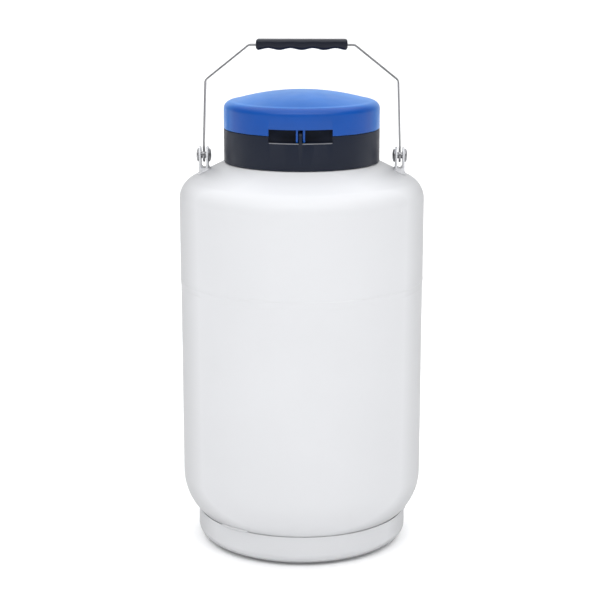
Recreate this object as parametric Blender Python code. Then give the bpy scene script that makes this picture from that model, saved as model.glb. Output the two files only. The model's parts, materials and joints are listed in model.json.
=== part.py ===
"""Portable liquid nitrogen dewar of 10 litres with an 80 mm neck.

A white vacuum-jacketed vessel stands on a welded foot pan. A black collar and a blue hinged lid close its
neck, a strap bail with a moulded grip swings over the lid, and a foam plug and six canisters hang inside.
The origin is at the centre of the foot's underside, +Z points up, and the padlock recess faces -Y.
"""

import math

import bmesh
import bpy
from mathutils import Vector

MM = 0.001
GAP = 0.3 * MM  # clearance kept between pieces that touch

# Number of sides on turned pieces, by size
LARGE_SIDES = 36
MEDIUM_SIDES = 24
SMALL_SIDES = 12

# Outer shell: a cylinder with a coned shoulder and a dished bottom
SHELL_WALL = 2.0 * MM
UPPER_R = 150.0 * MM
LOWER_R = 149.5 * MM
SEAM_TOP = 335.0 * MM
SEAM_HEIGHT = 8.0 * MM
SEAM_BOTTOM = SEAM_TOP - SEAM_HEIGHT
SHOULDER_START = 434.0 * MM
SHOULDER_RADIUS = 27.7 * MM
SHOULDER_SLOPE = math.radians(26.4)
LEDGE_Z = 489.3 * MM
LEDGE_R = 72.0 * MM
CONE_END_R = 76.0 * MM
SHELL_MOUTH_R = 46.0 * MM
KNUCKLE_Z = 87.3 * MM
KNUCKLE_RADIUS = 67.0 * MM
KNUCKLE_SWEEP = math.radians(75.0)

# Foot pan
FOOT_R = 130.8 * MM
FOOT_WALL = 2.0 * MM
FOOT_CORNER_R = 26.3 * MM
FOOT_CORNER_H = 16.7 * MM
FOOT_HOLE_R = 84.0 * MM
FOOT_RIM_GAP = 0.6 * MM
FOOT_WELD_LENGTH = math.radians(18.0)
FOOT_WELD_FIRST = math.radians(-128.0)
FOOT_WELD_COUNT = 3

# Inner vessel, neck tube and what lies in the vacuum space
INNER_WALL = 2.0 * MM
INNER_R = 116.0 * MM
INNER_LOW = 100.0 * MM
INNER_HIGH = 293.0 * MM
INNER_DISH_LOW = 40.0 * MM
INNER_DISH_HIGH = 42.0 * MM
INNER_SPLIT = 196.0 * MM
NECK_R = 40.0 * MM
NECK_WALL = 2.0 * MM
NECK_BOTTOM = 331.0 * MM
INNER_COLLAR_TOP = 345.0 * MM
WRAP_THICKNESS = 13.7 * MM
WRAP_CLEARANCE = 1.8 * MM
WRAP_MOUTH_R = 47.0 * MM
POUCH_R = 32.0 * MM
POUCH_LOW = 50.0 * MM
POUCH_HIGH = 59.5 * MM
POUCH_ROOM = 12.0 * MM  # extra depth of the blanket under the vessel

# Neck flange and the notched ring that the canister rods hang in
FLANGE_R = 66.0 * MM
FLANGE_THICKNESS = 4.0 * MM
FLANGE_SKIRT = 3.2 * MM
FLANGE_SKIRT_LOW = 470.0 * MM
FLANGE_LOW = LEDGE_Z + GAP
FLANGE_TOP = FLANGE_LOW + FLANGE_THICKNESS
RING_R = 50.0 * MM
RING_LOW = FLANGE_TOP + GAP
RING_HEIGHT = 10.0 * MM
RING_NOTCH_FLOOR = RING_LOW + 5.0 * MM
RING_NOTCH_WIDTH = 4.6 * MM

# Collar
COLLAR_R = 95.0 * MM
COLLAR_WALL = 5.0 * MM
COLLAR_BOTTOM = 479.3 * MM
COLLAR_TOP = 519.9 * MM
COLLAR_FLOOR = RING_LOW
COLLAR_FLOOR_THICKNESS = 2.2 * MM
COLLAR_MOUTH_R = 52.0 * MM
SPIGOT_OUTER_R = 91.2 * MM
SPIGOT_INNER_R = 88.3 * MM
SPIGOT_LOW = 512.0 * MM
SPIGOT_TOP = 526.0 * MM
COLLAR_SCREW_CIRCLE = 60.0 * MM
COLLAR_SCREW_COUNT = 3
COLLAR_SCREW_R = 2.0 * MM
COLLAR_SCREW_HEAD_R = 4.0 * MM
COLLAR_SCREW_HEAD = 2.4 * MM

# Padlock recess at the front of the collar and lid
RECESS_HALF_WIDTH = 37.6 * MM
RECESS_FLOOR = 512.5 * MM
RECESS_BACK = -80.0 * MM
RECESS_WALL = 2.3 * MM
RECESS_BACK_TOP = 527.0 * MM
HASP_THICKNESS = 3.2 * MM
HASP_FRONT = -96.6 * MM
HASP_LOW = 508.8 * MM
HASP_TOP = 525.0 * MM
HASP_HOLE_Y = -88.5 * MM
HASP_HOLE_Z = 518.8 * MM
HASP_HOLE_R = 3.5 * MM
FIN_OFFSET = 4.1 * MM
FIN_THICKNESS = 2.4 * MM
FIN_FRONT = -93.6 * MM
FIN_BACK = -82.5 * MM
FIN_LOW = 512.9 * MM

# Lid
LID_R = 95.0 * MM
LID_WALL = 2.8 * MM
LID_BOTTOM = COLLAR_TOP + 0.4 * MM
LID_SIDE_TOP = 543.8 * MM
LID_CORNER_R = 10.7 * MM
LID_DOME_LOW = 553.2 * MM
LID_APEX = 565.5 * MM
LID_NOTCH_TOP = 528.2 * MM
LINER_R = 76.0 * MM
LINER_LOW = 548.5 * MM

# Lid hinge at the back
HINGE_Y = 100.8 * MM
HINGE_Z = 520.0 * MM
KNUCKLE_R = 4.6 * MM
LID_KNUCKLE_HALF = 12.0 * MM
LUG_INNER = 12.5 * MM
LUG_OUTER = 21.0 * MM
HINGE_PIN_R = 1.8 * MM
HINGE_BORE_R = 2.1 * MM
HINGE_PIN_HEAD_R = 3.2 * MM
HINGE_PIN_HEAD = 1.5 * MM

# Clevises, pivots and bail
PIVOT_X = 119.8 * MM
PIVOT_Z = 486.0 * MM
CLEVIS_GAP = 6.4 * MM
CLEVIS_EAR = 2.5 * MM
CLEVIS_HALF_WIDTH = 10.5 * MM
CLEVIS_INNER_BOTTOM = 470.5 * MM
CLEVIS_BASE_GAP = 0.5 * MM
PIVOT_SHANK_R = 3.8 * MM
PIVOT_HOLE_R = 4.2 * MM
PIVOT_HEAD_R = 8.1 * MM
PIVOT_HEAD = 3.2 * MM
STRAP_THICKNESS = 2.0 * MM
STRAP_HALF_WIDTH = 7.0 * MM
STRAP_EYE_R = 8.4 * MM
STRAP_EYE_THICKNESS = 2.3 * MM
STRAP_EYE_X = PIVOT_X - 0.2 * MM
STRAP_LEG_STRAIGHT = 500.0 * MM
STRAP_CORNER_X = 116.8 * MM
STRAP_CORNER_Z = 577.5 * MM
STRAP_TOP_X = 63.9 * MM
STRAP_TOP_Z = 619.7 * MM
STRAP_BEND_R = 6.0 * MM

# Grip
GRIP_HALF_LENGTH = 55.3 * MM
GRIP_HALF_WIDTH = 10.0 * MM
GRIP_TOP = 627.1 * MM
GRIP_LOW = 613.4 * MM
GRIP_FINGER_PITCH = 27.0 * MM
GRIP_FINGER_DEPTH = 2.2 * MM
GRIP_END_R = 3.5 * MM
GRIP_SQUARENESS = 0.55
GRIP_STATIONS = 17
GRIP_END_STATIONS = 2
GRIP_SIDES = 12

# Neck plug
PLUG_R = 38.4 * MM
PLUG_LENGTH = 130.0 * MM
PLUG_GROOVE_WIDTH = 5.2 * MM
PLUG_GROOVE_R = 32.4 * MM
PLUG_CAP_R = 48.0 * MM
PLUG_CAP_THICKNESS = 3.0 * MM
PLUG_CAP_LOW = RING_LOW + RING_HEIGHT + GAP
KNOB_R = 15.0 * MM
KNOB_WAIST_R = 8.0 * MM
KNOB_HEIGHT = 15.5 * MM

# Canisters
CANISTER_COUNT = 6
CANISTER_R = 31.5 * MM
CANISTER_WALL = 1.0 * MM
CANISTER_HEIGHT = 120.0 * MM
CANISTER_BOTTOM = 86.0 * MM
CANISTER_DRAIN_R = 4.0 * MM
ROD_R = 1.8 * MM
ROD_CIRCLE = 35.0 * MM
ROD_BOTTOM = 112.0 * MM
ROD_BEND_R = 6.0 * MM
ROD_TOP = RING_NOTCH_FLOOR + GAP + ROD_R
ROD_REACH = 70.0 * MM
CANISTER_CIRCLE = ROD_CIRCLE + ROD_R + GAP + CANISTER_R
CANISTER_SIDES = 16
SLEEVE_SIDES = 8
SLEEVE_R = 3.1 * MM
SLEEVE_START = 55.0 * MM
SLEEVE_END = 69.0 * MM

# Vacuum port on the shoulder, behind the collar
PORT_CIRCLE = 118.0 * MM
PORT_AZIMUTH = math.radians(65.0)
PORT_BASE_R = 11.5 * MM
PORT_BASE_LOW = 0.7 * MM
PORT_BASE_TOP = 2.7 * MM
PORT_TUBE_R = 8.2 * MM
PORT_BORE_R = 5.5 * MM
PORT_BORE_FLOOR = 4.0 * MM
PORT_TOP = 11.0 * MM
SEAL_R = 5.2 * MM
SEAL_HEAD_R = 7.4 * MM
SEAL_HEAD = 2.0 * MM
PORT_CAP_R = 10.2 * MM
PORT_CAP_BORE_R = 8.6 * MM
PORT_CAP_ROOF = 1.6 * MM

FINISHES = {  # linear colour, roughness, metallic
    "white_paint": ((0.80, 0.82, 0.85), 0.28, 0.0),
    "bare_aluminium": ((0.62, 0.63, 0.65), 0.38, 1.0),
    "glass_fibre": ((0.55, 0.50, 0.33), 0.5, 0.0),
    "foil": ((0.78, 0.78, 0.80), 0.3, 1.0),
    "fleece": ((0.75, 0.74, 0.70), 0.9, 0.0),
    "black_plastic": ((0.020, 0.023, 0.032), 0.35, 0.0),
    "blue_plastic": ((0.020, 0.110, 0.460), 0.28, 0.0),
    "white_foam": ((0.80, 0.80, 0.78), 0.85, 0.0),
    "white_plastic": ((0.78, 0.78, 0.76), 0.4, 0.0),
    "steel": ((0.45, 0.45, 0.46), 0.32, 1.0),
    "grip_rubber": ((0.014, 0.015, 0.022), 0.42, 0.0),
    "sleeve_plastic": ((0.55, 0.04, 0.03), 0.4, 0.0),
}


def clear_scene():
    for obj in list(bpy.data.objects):
        bpy.data.objects.remove(obj, do_unlink=True)


def finish(name):
    """The Principled material of that name, made the first time that it is asked for."""
    found = bpy.data.materials.get(name)
    if found:
        return found
    colour, roughness, metallic = FINISHES[name]
    made = bpy.data.materials.new(name)
    made.use_nodes = True
    shader = made.node_tree.nodes["Principled BSDF"]
    shader.inputs["Base Color"].default_value = (*colour, 1.0)
    shader.inputs["Roughness"].default_value = roughness
    shader.inputs["Metallic"].default_value = metallic
    return made


# ---------------------------------------------------------------- outlines


def arc(centre, radii, start, end, steps):
    """Points on an ellipse about centre, from one angle to another, both ends included."""
    points = []
    for step in range(steps + 1):
        angle = start + (end - start) * step / steps
        points.append((centre[0] + radii[0] * math.cos(angle), centre[1] + radii[1] * math.sin(angle)))
    return points


def circle(centre, radius, sides):
    """Points round a circle, the first of them half a side past the first axis."""
    half_side = math.pi / sides
    return arc(centre, (radius, radius), half_side, math.tau - half_side, sides - 1)


def rounded(points, radius, steps):
    """The open path with an arc of that radius at each inner corner."""
    path = [Vector(points[0])]
    for before, corner, after in zip(points, points[1:], points[2:]):
        corner = Vector(corner)
        back = (Vector(before) - corner).normalized()
        ahead = (Vector(after) - corner).normalized()
        half_angle = back.angle(ahead) / 2
        centre = corner + (back + ahead).normalized() * radius / math.sin(half_angle)
        start = corner + back * radius / math.tan(half_angle) - centre
        end = corner + ahead * radius / math.tan(half_angle) - centre
        for step in range(steps + 1):
            share = step / steps
            spoke = start * (1 - share) + end * share
            path.append(centre + spoke.normalized() * radius)
    path.append(Vector(points[-1]))
    return path


def ribbon(path, thickness):
    """The closed outline of a strip of that thickness along an open path in a plane."""
    left, right = [], []
    for index, point in enumerate(path):
        before = path[max(index - 1, 0)]
        after = path[min(index + 1, len(path) - 1)]
        along = (after - before).normalized()
        aside = Vector((-along.y, along.x)) * thickness / 2
        left.append(point + aside)
        right.append(point - aside)
    return left + right[::-1]


# ---------------------------------------------------------------- meshes


def new_object(name, bm, finish_name):
    """An object of the closed mesh, with its faces turned outwards and shaded smooth."""
    bmesh.ops.recalc_face_normals(bm, faces=bm.faces)
    mesh = bpy.data.meshes.new(name)
    bm.to_mesh(mesh)
    bm.free()
    mesh.materials.append(finish(finish_name))
    mesh.shade_smooth()
    mesh.set_sharp_from_angle(angle=math.radians(35))
    obj = bpy.data.objects.new(name, mesh)
    bpy.context.collection.objects.link(obj)
    return obj


def turned(name, outline, finish_name, sides=LARGE_SIDES):
    """A solid turned about Z from (radius, height) points. An outline that starts on the axis ends on it."""
    bm = bmesh.new()
    corners = [bm.verts.new((radius, 0.0, height)) for radius, height in outline]
    ends_on_axis = outline[0][0] == 0.0
    following = corners[1:] if ends_on_axis else corners[1:] + corners[:1]
    edges = [bm.edges.new(pair) for pair in zip(corners, following)]
    bmesh.ops.spin(
        bm,
        geom=corners + edges,
        cent=(0, 0, 0),
        axis=(0, 0, 1),
        angle=math.tau,
        steps=sides,
        use_merge=True,
    )
    bmesh.ops.remove_doubles(bm, verts=bm.verts, dist=1e-6)
    return new_object(name, bm, finish_name)


def prism(name, outline, along, low, high, finish_name):
    """A solid with a flat outline, extruded from low to high along X, Y or Z."""
    place = {
        "X": lambda a, b, depth: (depth, a, b),
        "Y": lambda a, b, depth: (a, depth, b),
        "Z": lambda a, b, depth: (a, b, depth),
    }[along]
    bm = bmesh.new()
    face = bm.faces.new([bm.verts.new(place(a, b, low)) for a, b in outline])
    grown = bmesh.ops.extrude_face_region(bm, geom=[face])["geom"]
    moved = [item for item in grown if isinstance(item, bmesh.types.BMVert)]
    bmesh.ops.translate(bm, verts=moved, vec=place(0.0, 0.0, high - low))
    return new_object(name, bm, finish_name)


def rod(name, outline_centre, radius, along, low, high, sides=SMALL_SIDES, finish_name="steel"):
    return prism(name, circle(outline_centre, radius, sides), along, low, high, finish_name)


def box(name, low, high, finish_name="steel"):
    outline = [(low[0], low[1]), (high[0], low[1]), (high[0], high[1]), (low[0], high[1])]
    return prism(name, outline, "Z", low[2], high[2], finish_name)


def loft(name, rings, finish_name):
    """A solid skinned over rings of the same number of points, with flat ends."""
    bm = bmesh.new()
    rows = [[bm.verts.new(point) for point in ring] for ring in rings]
    for row, following in zip(rows, rows[1:]):
        for index, corner in enumerate(row):
            after = (index + 1) % len(row)
            bm.faces.new((corner, row[after], following[after], following[index]))
    bm.faces.new(rows[0])
    bm.faces.new(rows[-1])
    return new_object(name, bm, finish_name)


def wire(name, path, radius, finish_name):
    """A bent round bar along a path of 3-D points, with flat ends."""
    curve = bpy.data.curves.new(name, "CURVE")
    curve.dimensions = "3D"
    curve.bevel_depth = radius
    curve.bevel_resolution = 2
    curve.use_fill_caps = True
    spline = curve.splines.new("POLY")
    spline.points.add(len(path) - 1)
    for point, place in zip(spline.points, path):
        point.co = (*place, 1.0)
    curve.materials.append(finish(finish_name))
    obj = bpy.data.objects.new(name, curve)
    bpy.context.collection.objects.link(obj)
    return obj


def combine(target, helper, operation):
    """A Boolean on target. The helper itself is left out of the model."""
    helper.hide_render = True
    helper.display_type = "WIRE"
    modifier = target.modifiers.new(helper.name, "BOOLEAN")
    modifier.operation = operation
    modifier.object = helper
    modifier.solver = "EXACT"


def join_to(target, *helpers):
    for helper in helpers:
        combine(target, helper, "UNION")


def cut_from(target, *helpers):
    for helper in helpers:
        combine(target, helper, "DIFFERENCE")


def empty(name, location, turn=0.0):
    """A frame for a moving assembly, placed on its joint's axis."""
    made = bpy.data.objects.new(name, None)
    made.location = location
    made.rotation_euler.z = turn
    bpy.context.collection.objects.link(made)
    return made


def hang_on(frame, *objects):
    """Parent objects that were built in the vessel's frame, leaving them where they are."""
    for obj in objects:
        obj.parent = frame
        obj.location = obj.location - frame.location
        for modifier in obj.modifiers:
            modifier.object.parent = frame
            modifier.object.location = modifier.object.location - frame.location


# ---------------------------------------------------------------- outer vessel


def cone_z(radius):
    """Height of the shoulder's cone at a radius."""
    tangent_r = UPPER_R - SHOULDER_RADIUS + SHOULDER_RADIUS * math.sin(SHOULDER_SLOPE)
    tangent_z = SHOULDER_START + SHOULDER_RADIUS * math.cos(SHOULDER_SLOPE)
    return tangent_z + (tangent_r - radius) * math.tan(SHOULDER_SLOPE)


def shoulder_skin(inset):
    """The upper shell's outer surface, or its inner one when inset, from the seam up to the mouth."""
    centre = (UPPER_R - SHOULDER_RADIUS, SHOULDER_START)
    radius = SHOULDER_RADIUS - inset
    drop = inset / math.cos(SHOULDER_SLOPE)
    skin = [(UPPER_R - inset, SEAM_TOP)]
    skin += arc(centre, (radius, radius), 0.0, math.pi / 2 - SHOULDER_SLOPE, 4)
    skin.append((CONE_END_R, cone_z(CONE_END_R) - drop))
    skin.append((LEDGE_R, LEDGE_Z - inset))
    skin.append((SHELL_MOUTH_R, LEDGE_Z - inset))
    return skin


def bottom_skin(inset):
    """The lower shell's outer surface, or its inner one when inset, from the seam down to the axis."""
    knuckle_centre_r = LOWER_R - KNUCKLE_RADIUS
    knuckle_radius = KNUCKLE_RADIUS - inset
    crown_radius = KNUCKLE_RADIUS + knuckle_centre_r / math.cos(KNUCKLE_SWEEP) - inset
    crown_centre_z = KNUCKLE_Z + knuckle_centre_r * math.tan(KNUCKLE_SWEEP)
    skin = [(LOWER_R - inset, SEAM_BOTTOM)]
    knuckle = (knuckle_centre_r, KNUCKLE_Z)
    skin += arc(knuckle, (knuckle_radius, knuckle_radius), 0.0, -KNUCKLE_SWEEP, 6)
    crown = arc((0.0, crown_centre_z), (crown_radius, crown_radius), -KNUCKLE_SWEEP, -math.pi / 2, 2)
    skin += crown[1:-1]
    skin.append((0.0, crown_centre_z - crown_radius))
    return skin


def make_outer_shell():
    upper = shoulder_skin(0.0) + shoulder_skin(SHELL_WALL)[::-1]
    turned("outer_shell_upper", upper, "white_paint")
    lower = bottom_skin(0.0)[::-1] + bottom_skin(SHELL_WALL)
    turned("outer_shell_lower", lower, "white_paint")
    weld_outer = UPPER_R - GAP / 2
    weld_inner = UPPER_R - SHELL_WALL
    low = SEAM_BOTTOM + GAP
    high = SEAM_TOP - GAP
    weld = [(weld_outer, low), (weld_outer, high), (weld_inner, high), (weld_inner, low)]
    turned("girth_weld", weld, "white_paint")


def knuckle_r(height, clearance=0.0):
    """Radius of the lower shell's knuckle at a height, grown by a clearance."""
    reach = KNUCKLE_RADIUS + clearance
    return LOWER_R - KNUCKLE_RADIUS + math.sqrt(reach**2 - (KNUCKLE_Z - height) ** 2)


def knuckle_z(radius, clearance=0.0):
    """Height of the lower shell's knuckle at a radius, lowered by a clearance."""
    reach = KNUCKLE_RADIUS + clearance
    return KNUCKLE_Z - math.sqrt(reach**2 - (radius - LOWER_R + KNUCKLE_RADIUS) ** 2)


def make_foot_pan():
    """A pan whose rim fits under the shell's knuckle, with a large drain hole in its floor."""
    corner = (FOOT_R - FOOT_CORNER_R, FOOT_CORNER_H)
    outer_radii = (FOOT_CORNER_R, FOOT_CORNER_H)
    inner_radii = (FOOT_CORNER_R - FOOT_WALL, FOOT_CORNER_H - FOOT_WALL)
    rim_inner = FOOT_R - FOOT_WALL
    outline = [(FOOT_R, knuckle_z(FOOT_R, FOOT_RIM_GAP))]
    outline += arc(corner, outer_radii, 0.0, -math.pi / 2, 4)
    outline += [(FOOT_HOLE_R, 0.0), (FOOT_HOLE_R, FOOT_WALL)]
    outline += arc(corner, inner_radii, -math.pi / 2, 0.0, 4)
    outline.append((rim_inner, knuckle_z(rim_inner, FOOT_RIM_GAP)))
    turned("foot_pan", outline, "white_paint")


def make_foot_welds():
    """Short fillet welds in the corner between the foot's rim and the knuckle."""
    wall = FOOT_R + GAP
    rim = knuckle_z(FOOT_R)
    leg = 2.6 * MM
    section = [
        (wall, rim - leg),
        (wall, rim),
        (knuckle_r(rim + leg / 2, GAP), rim + leg / 2),
        (knuckle_r(rim + leg, GAP), rim + leg),
        (wall + leg / 2, rim - leg / 4),
    ]
    steps = 6
    for number in range(FOOT_WELD_COUNT):
        middle = FOOT_WELD_FIRST + math.tau * number / FOOT_WELD_COUNT
        rings = []
        for step in range(steps + 1):
            angle = middle + FOOT_WELD_LENGTH * (step / steps - 0.5)
            rings.append([(r * math.cos(angle), r * math.sin(angle), z) for r, z in section])
        loft(f"foot_weld_{number + 1}", rings, "white_paint")


# ---------------------------------------------------------------- inner vessel


def inner_skin(inset):
    """Skins of the inner vessel: one from the axis up to the split, one from there to the neck."""
    radius = INNER_R - inset
    low = INNER_DISH_LOW - inset
    high = INNER_DISH_HIGH - inset
    bottom = arc((0.0, INNER_LOW), (radius, low), -math.pi / 2, 0.0, 4)
    bottom[0] = (0.0, INNER_LOW - low)
    bottom.append((radius, INNER_SPLIT - GAP / 2))
    mouth = NECK_R + NECK_WALL + GAP + INNER_WALL - inset
    top = [(radius, INNER_SPLIT + GAP / 2)]
    top += arc((0.0, INNER_HIGH), (radius, high), 0.0, math.acos(mouth / radius), 4)
    top.append((mouth, INNER_COLLAR_TOP))
    return bottom, top


def make_inner_vessel():
    outer_bottom, outer_top = inner_skin(0.0)
    inner_bottom, inner_top = inner_skin(INNER_WALL)
    turned("inner_vessel_lower", outer_bottom + inner_bottom[::-1], "bare_aluminium", MEDIUM_SIDES)
    turned("inner_vessel_upper", outer_top + inner_top[::-1], "bare_aluminium", MEDIUM_SIDES)


def make_neck_tube():
    outer = NECK_R + NECK_WALL
    outline = [(outer, NECK_BOTTOM), (outer, FLANGE_TOP), (NECK_R, FLANGE_TOP), (NECK_R, NECK_BOTTOM)]
    turned("neck_tube", outline, "glass_fibre", MEDIUM_SIDES)


def wrap_skin(grow):
    """One face of the insulation blanket, from the axis under the vessel to its mouth round the neck."""
    radius = INNER_R + grow
    below = INNER_DISH_LOW + grow + POUCH_ROOM
    above = INNER_DISH_HIGH + grow
    skin = arc((0.0, INNER_LOW), (radius, below), -math.pi / 2, 0.0, 4)
    skin[0] = (0.0, INNER_LOW - below)
    skin += arc((0.0, INNER_HIGH), (radius, above), 0.0, math.acos(WRAP_MOUTH_R / radius), 4)
    return skin


def make_vacuum_space():
    blanket = wrap_skin(WRAP_CLEARANCE + WRAP_THICKNESS) + wrap_skin(WRAP_CLEARANCE)[::-1]
    turned("insulation_wrap", blanket, "foil", MEDIUM_SIDES)
    pouch = [(0.0, POUCH_LOW), (POUCH_R, POUCH_LOW), (POUCH_R, POUCH_HIGH), (0.0, POUCH_HIGH)]
    turned("adsorbent_pouch", pouch, "fleece", MEDIUM_SIDES)


# ---------------------------------------------------------------- neck, ring and collar


def make_neck_flange():
    bore = NECK_R + NECK_WALL + GAP
    skirt = bore + FLANGE_SKIRT
    outline = [
        (bore, FLANGE_SKIRT_LOW),
        (skirt, FLANGE_SKIRT_LOW),
        (skirt, FLANGE_LOW),
        (FLANGE_R, FLANGE_LOW),
        (FLANGE_R, FLANGE_TOP),
        (bore, FLANGE_TOP),
    ]
    flange = turned("neck_flange", outline, "bare_aluminium", MEDIUM_SIDES)
    hole_r = COLLAR_SCREW_R + GAP
    for number, place in enumerate(screw_places()):
        low = FLANGE_LOW + 1.0 * MM
        cut_from(flange, rod(f"flange_hole_{number}", place, hole_r, "Z", low, FLANGE_TOP + MM))


def make_index_ring():
    high = RING_LOW + RING_HEIGHT
    outline = [(NECK_R, RING_LOW), (RING_R, RING_LOW), (RING_R, high), (NECK_R, high)]
    ring = turned("index_ring", outline, "white_plastic", MEDIUM_SIDES)
    half = RING_NOTCH_WIDTH / 2
    for number in range(CANISTER_COUNT):
        low = (NECK_R - 5 * MM, -half, RING_NOTCH_FLOOR)
        high_corner = (RING_R + 5 * MM, half, high + MM)
        notch = box(f"ring_notch_{number}", low, high_corner)
        notch.rotation_euler.z = canister_azimuth(number)
        cut_from(ring, notch)


def screw_places():
    """Centres of the collar's screws, each midway between two canister rods."""
    places = []
    for number in range(COLLAR_SCREW_COUNT):
        angle = math.tau * number / COLLAR_SCREW_COUNT - math.pi / 2
        places.append((COLLAR_SCREW_CIRCLE * math.cos(angle), COLLAR_SCREW_CIRCLE * math.sin(angle)))
    return places


def make_collar_screws():
    base = COLLAR_FLOOR + COLLAR_FLOOR_THICKNESS + GAP
    tip = FLANGE_LOW + 1.5 * MM
    edge = base + COLLAR_SCREW_HEAD / 2
    outline = [(0.0, tip), (COLLAR_SCREW_R, tip), (COLLAR_SCREW_R, base), (COLLAR_SCREW_HEAD_R, base)]
    outline += [(COLLAR_SCREW_HEAD_R, edge), (COLLAR_SCREW_HEAD_R * 0.7, base + COLLAR_SCREW_HEAD * 0.9)]
    outline.append((0.0, base + COLLAR_SCREW_HEAD))
    for number, place in enumerate(screw_places()):
        screw = turned(f"collar_screw_{number + 1}", outline, "steel", SMALL_SIDES)
        screw.location = (*place, 0.0)


def recess_block(name, reach):
    """The solid that the padlock recess is cut into, with a curved front at that radius."""
    half = RECESS_HALF_WIDTH + RECESS_WALL
    spread = math.asin(half / reach)
    front = arc((0.0, 0.0), (reach, reach), -math.pi / 2 - spread, -math.pi / 2 + spread, 8)
    back = RECESS_BACK + RECESS_WALL
    outline = front + [(half, back), (-half, back)]
    low = RECESS_FLOOR - 2 * RECESS_WALL
    return prism(name, outline, "Z", low, RECESS_BACK_TOP, "black_plastic")


def hasp_outline():
    """Side view of the collar's hasp: an upright tongue with a rounded head."""
    head_r = 5.0 * MM
    head = arc((HASP_FRONT + head_r, HASP_TOP - head_r), (head_r, head_r), math.pi, math.pi / 2, 4)
    back = RECESS_BACK + RECESS_WALL / 2
    return [(back, HASP_LOW), (HASP_FRONT, HASP_LOW), *head, (back, HASP_TOP)]


def padlock_hole(name):
    """Cutter for the hole that a padlock's shackle passes through."""
    return rod(name, (HASP_HOLE_Y, HASP_HOLE_Z), HASP_HOLE_R, "X", -10 * MM, 10 * MM, 12)


def lug(name, low, high, toe_z, heel_z, finish_name):
    """A hinge knuckle with a web to the wall: its outline runs from toe_z to heel_z on the wall."""
    wall_y = COLLAR_R - 1.8 * MM
    up = math.copysign(1.0, toe_z - heel_z)
    sweep = arc((HINGE_Y, HINGE_Z), (KNUCKLE_R, KNUCKLE_R), -up * math.pi, up * math.pi * 0.72, 9)
    return prism(name, [(wall_y, heel_z), *sweep, (wall_y, toe_z)], "X", low, high, finish_name)


def make_collar():
    inner = COLLAR_R - COLLAR_WALL
    floor_top = COLLAR_FLOOR + COLLAR_FLOOR_THICKNESS
    outline = [
        (COLLAR_R, COLLAR_BOTTOM + 0.6 * MM),
        (COLLAR_R, COLLAR_TOP),
        (SPIGOT_OUTER_R, COLLAR_TOP),
        (SPIGOT_OUTER_R, SPIGOT_TOP),
        (SPIGOT_INNER_R, SPIGOT_TOP),
        (SPIGOT_INNER_R, SPIGOT_LOW),
        (inner, SPIGOT_LOW - 2 * MM),
        (inner, floor_top),
        (COLLAR_MOUTH_R, floor_top),
        (COLLAR_MOUTH_R, COLLAR_FLOOR),
        (inner, COLLAR_FLOOR),
        (inner, cone_z(inner) + MM),
        (COLLAR_R - 0.6 * MM, COLLAR_BOTTOM),
    ]
    collar = turned("collar", outline, "black_plastic")
    join_to(collar, recess_block("recess_block", SPIGOT_OUTER_R - GAP))
    low = (-RECESS_HALF_WIDTH, -COLLAR_R - 5 * MM, RECESS_FLOOR)
    high = (RECESS_HALF_WIDTH, RECESS_BACK, SPIGOT_TOP + 5 * MM)
    cut_from(collar, box("recess_space", low, high))
    half = HASP_THICKNESS / 2
    join_to(collar, prism("hasp", hasp_outline(), "X", -half, half, "black_plastic"))
    cut_from(collar, padlock_hole("hasp_hole"))
    for side in (-1, 1):
        ends = sorted((side * LUG_INNER, side * LUG_OUTER))
        name = f"collar_lug_{side}"
        join_to(collar, lug(name, *ends, COLLAR_TOP - 16 * MM, COLLAR_TOP - MM, "black_plastic"))
    bore_reach = LUG_OUTER + MM
    bore = rod("lug_bore", (HINGE_Y, HINGE_Z), HINGE_BORE_R, "X", -bore_reach, bore_reach)
    cut_from(collar, bore)
    for number, place in enumerate(screw_places()):
        hole_r = COLLAR_SCREW_R + 2 * GAP
        hole = rod(f"floor_hole_{number}", place, hole_r, "Z", COLLAR_FLOOR - MM, floor_top + MM)
        cut_from(collar, hole)


def make_hinge_pin():
    reach = LUG_OUTER + GAP
    outline = [
        (0.0, -reach),
        (HINGE_PIN_R, -reach),
        (HINGE_PIN_R, reach),
        (HINGE_PIN_HEAD_R, reach),
        (HINGE_PIN_HEAD_R, reach + HINGE_PIN_HEAD),
        (0.0, reach + HINGE_PIN_HEAD),
    ]
    pin = turned("hinge_pin", outline, "steel", SMALL_SIDES)
    pin.location = (0.0, HINGE_Y, HINGE_Z)
    pin.rotation_euler.y = math.pi / 2


# ---------------------------------------------------------------- lid


def dome_z(radius):
    """Height of the lid's dome at a radius."""
    edge = LID_R - LID_CORNER_R
    return LID_APEX - (LID_APEX - LID_DOME_LOW) * (radius / edge) ** 2


def lid_skin(inset):
    """The lid's outer surface, or its inner one when inset, from the axis down to the rim."""
    edge = LID_R - LID_CORNER_R
    dome = [(0.0, LID_APEX - inset)]
    dome += [(edge * share, dome_z(edge * share) - inset) for share in (0.3, 0.55, 0.8)]
    corner_radii = (LID_CORNER_R - inset, LID_DOME_LOW - LID_SIDE_TOP - inset)
    corner = arc((edge, LID_SIDE_TOP), corner_radii, math.pi / 2, 0.0, 4)
    return dome + corner + [(LID_R - inset, LID_BOTTOM)]


def fin_outline():
    """Side view of a lid fin, rounded at its lower front corner."""
    corner_r = 3.0 * MM
    corner = (FIN_FRONT + corner_r, FIN_LOW + corner_r)
    low_front = arc(corner, (corner_r, corner_r), -math.pi / 2, -math.pi, 3)
    top = LID_NOTCH_TOP + 6 * MM
    return [(FIN_BACK, FIN_LOW), *low_front, (FIN_FRONT, top), (FIN_BACK, top)]


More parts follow.
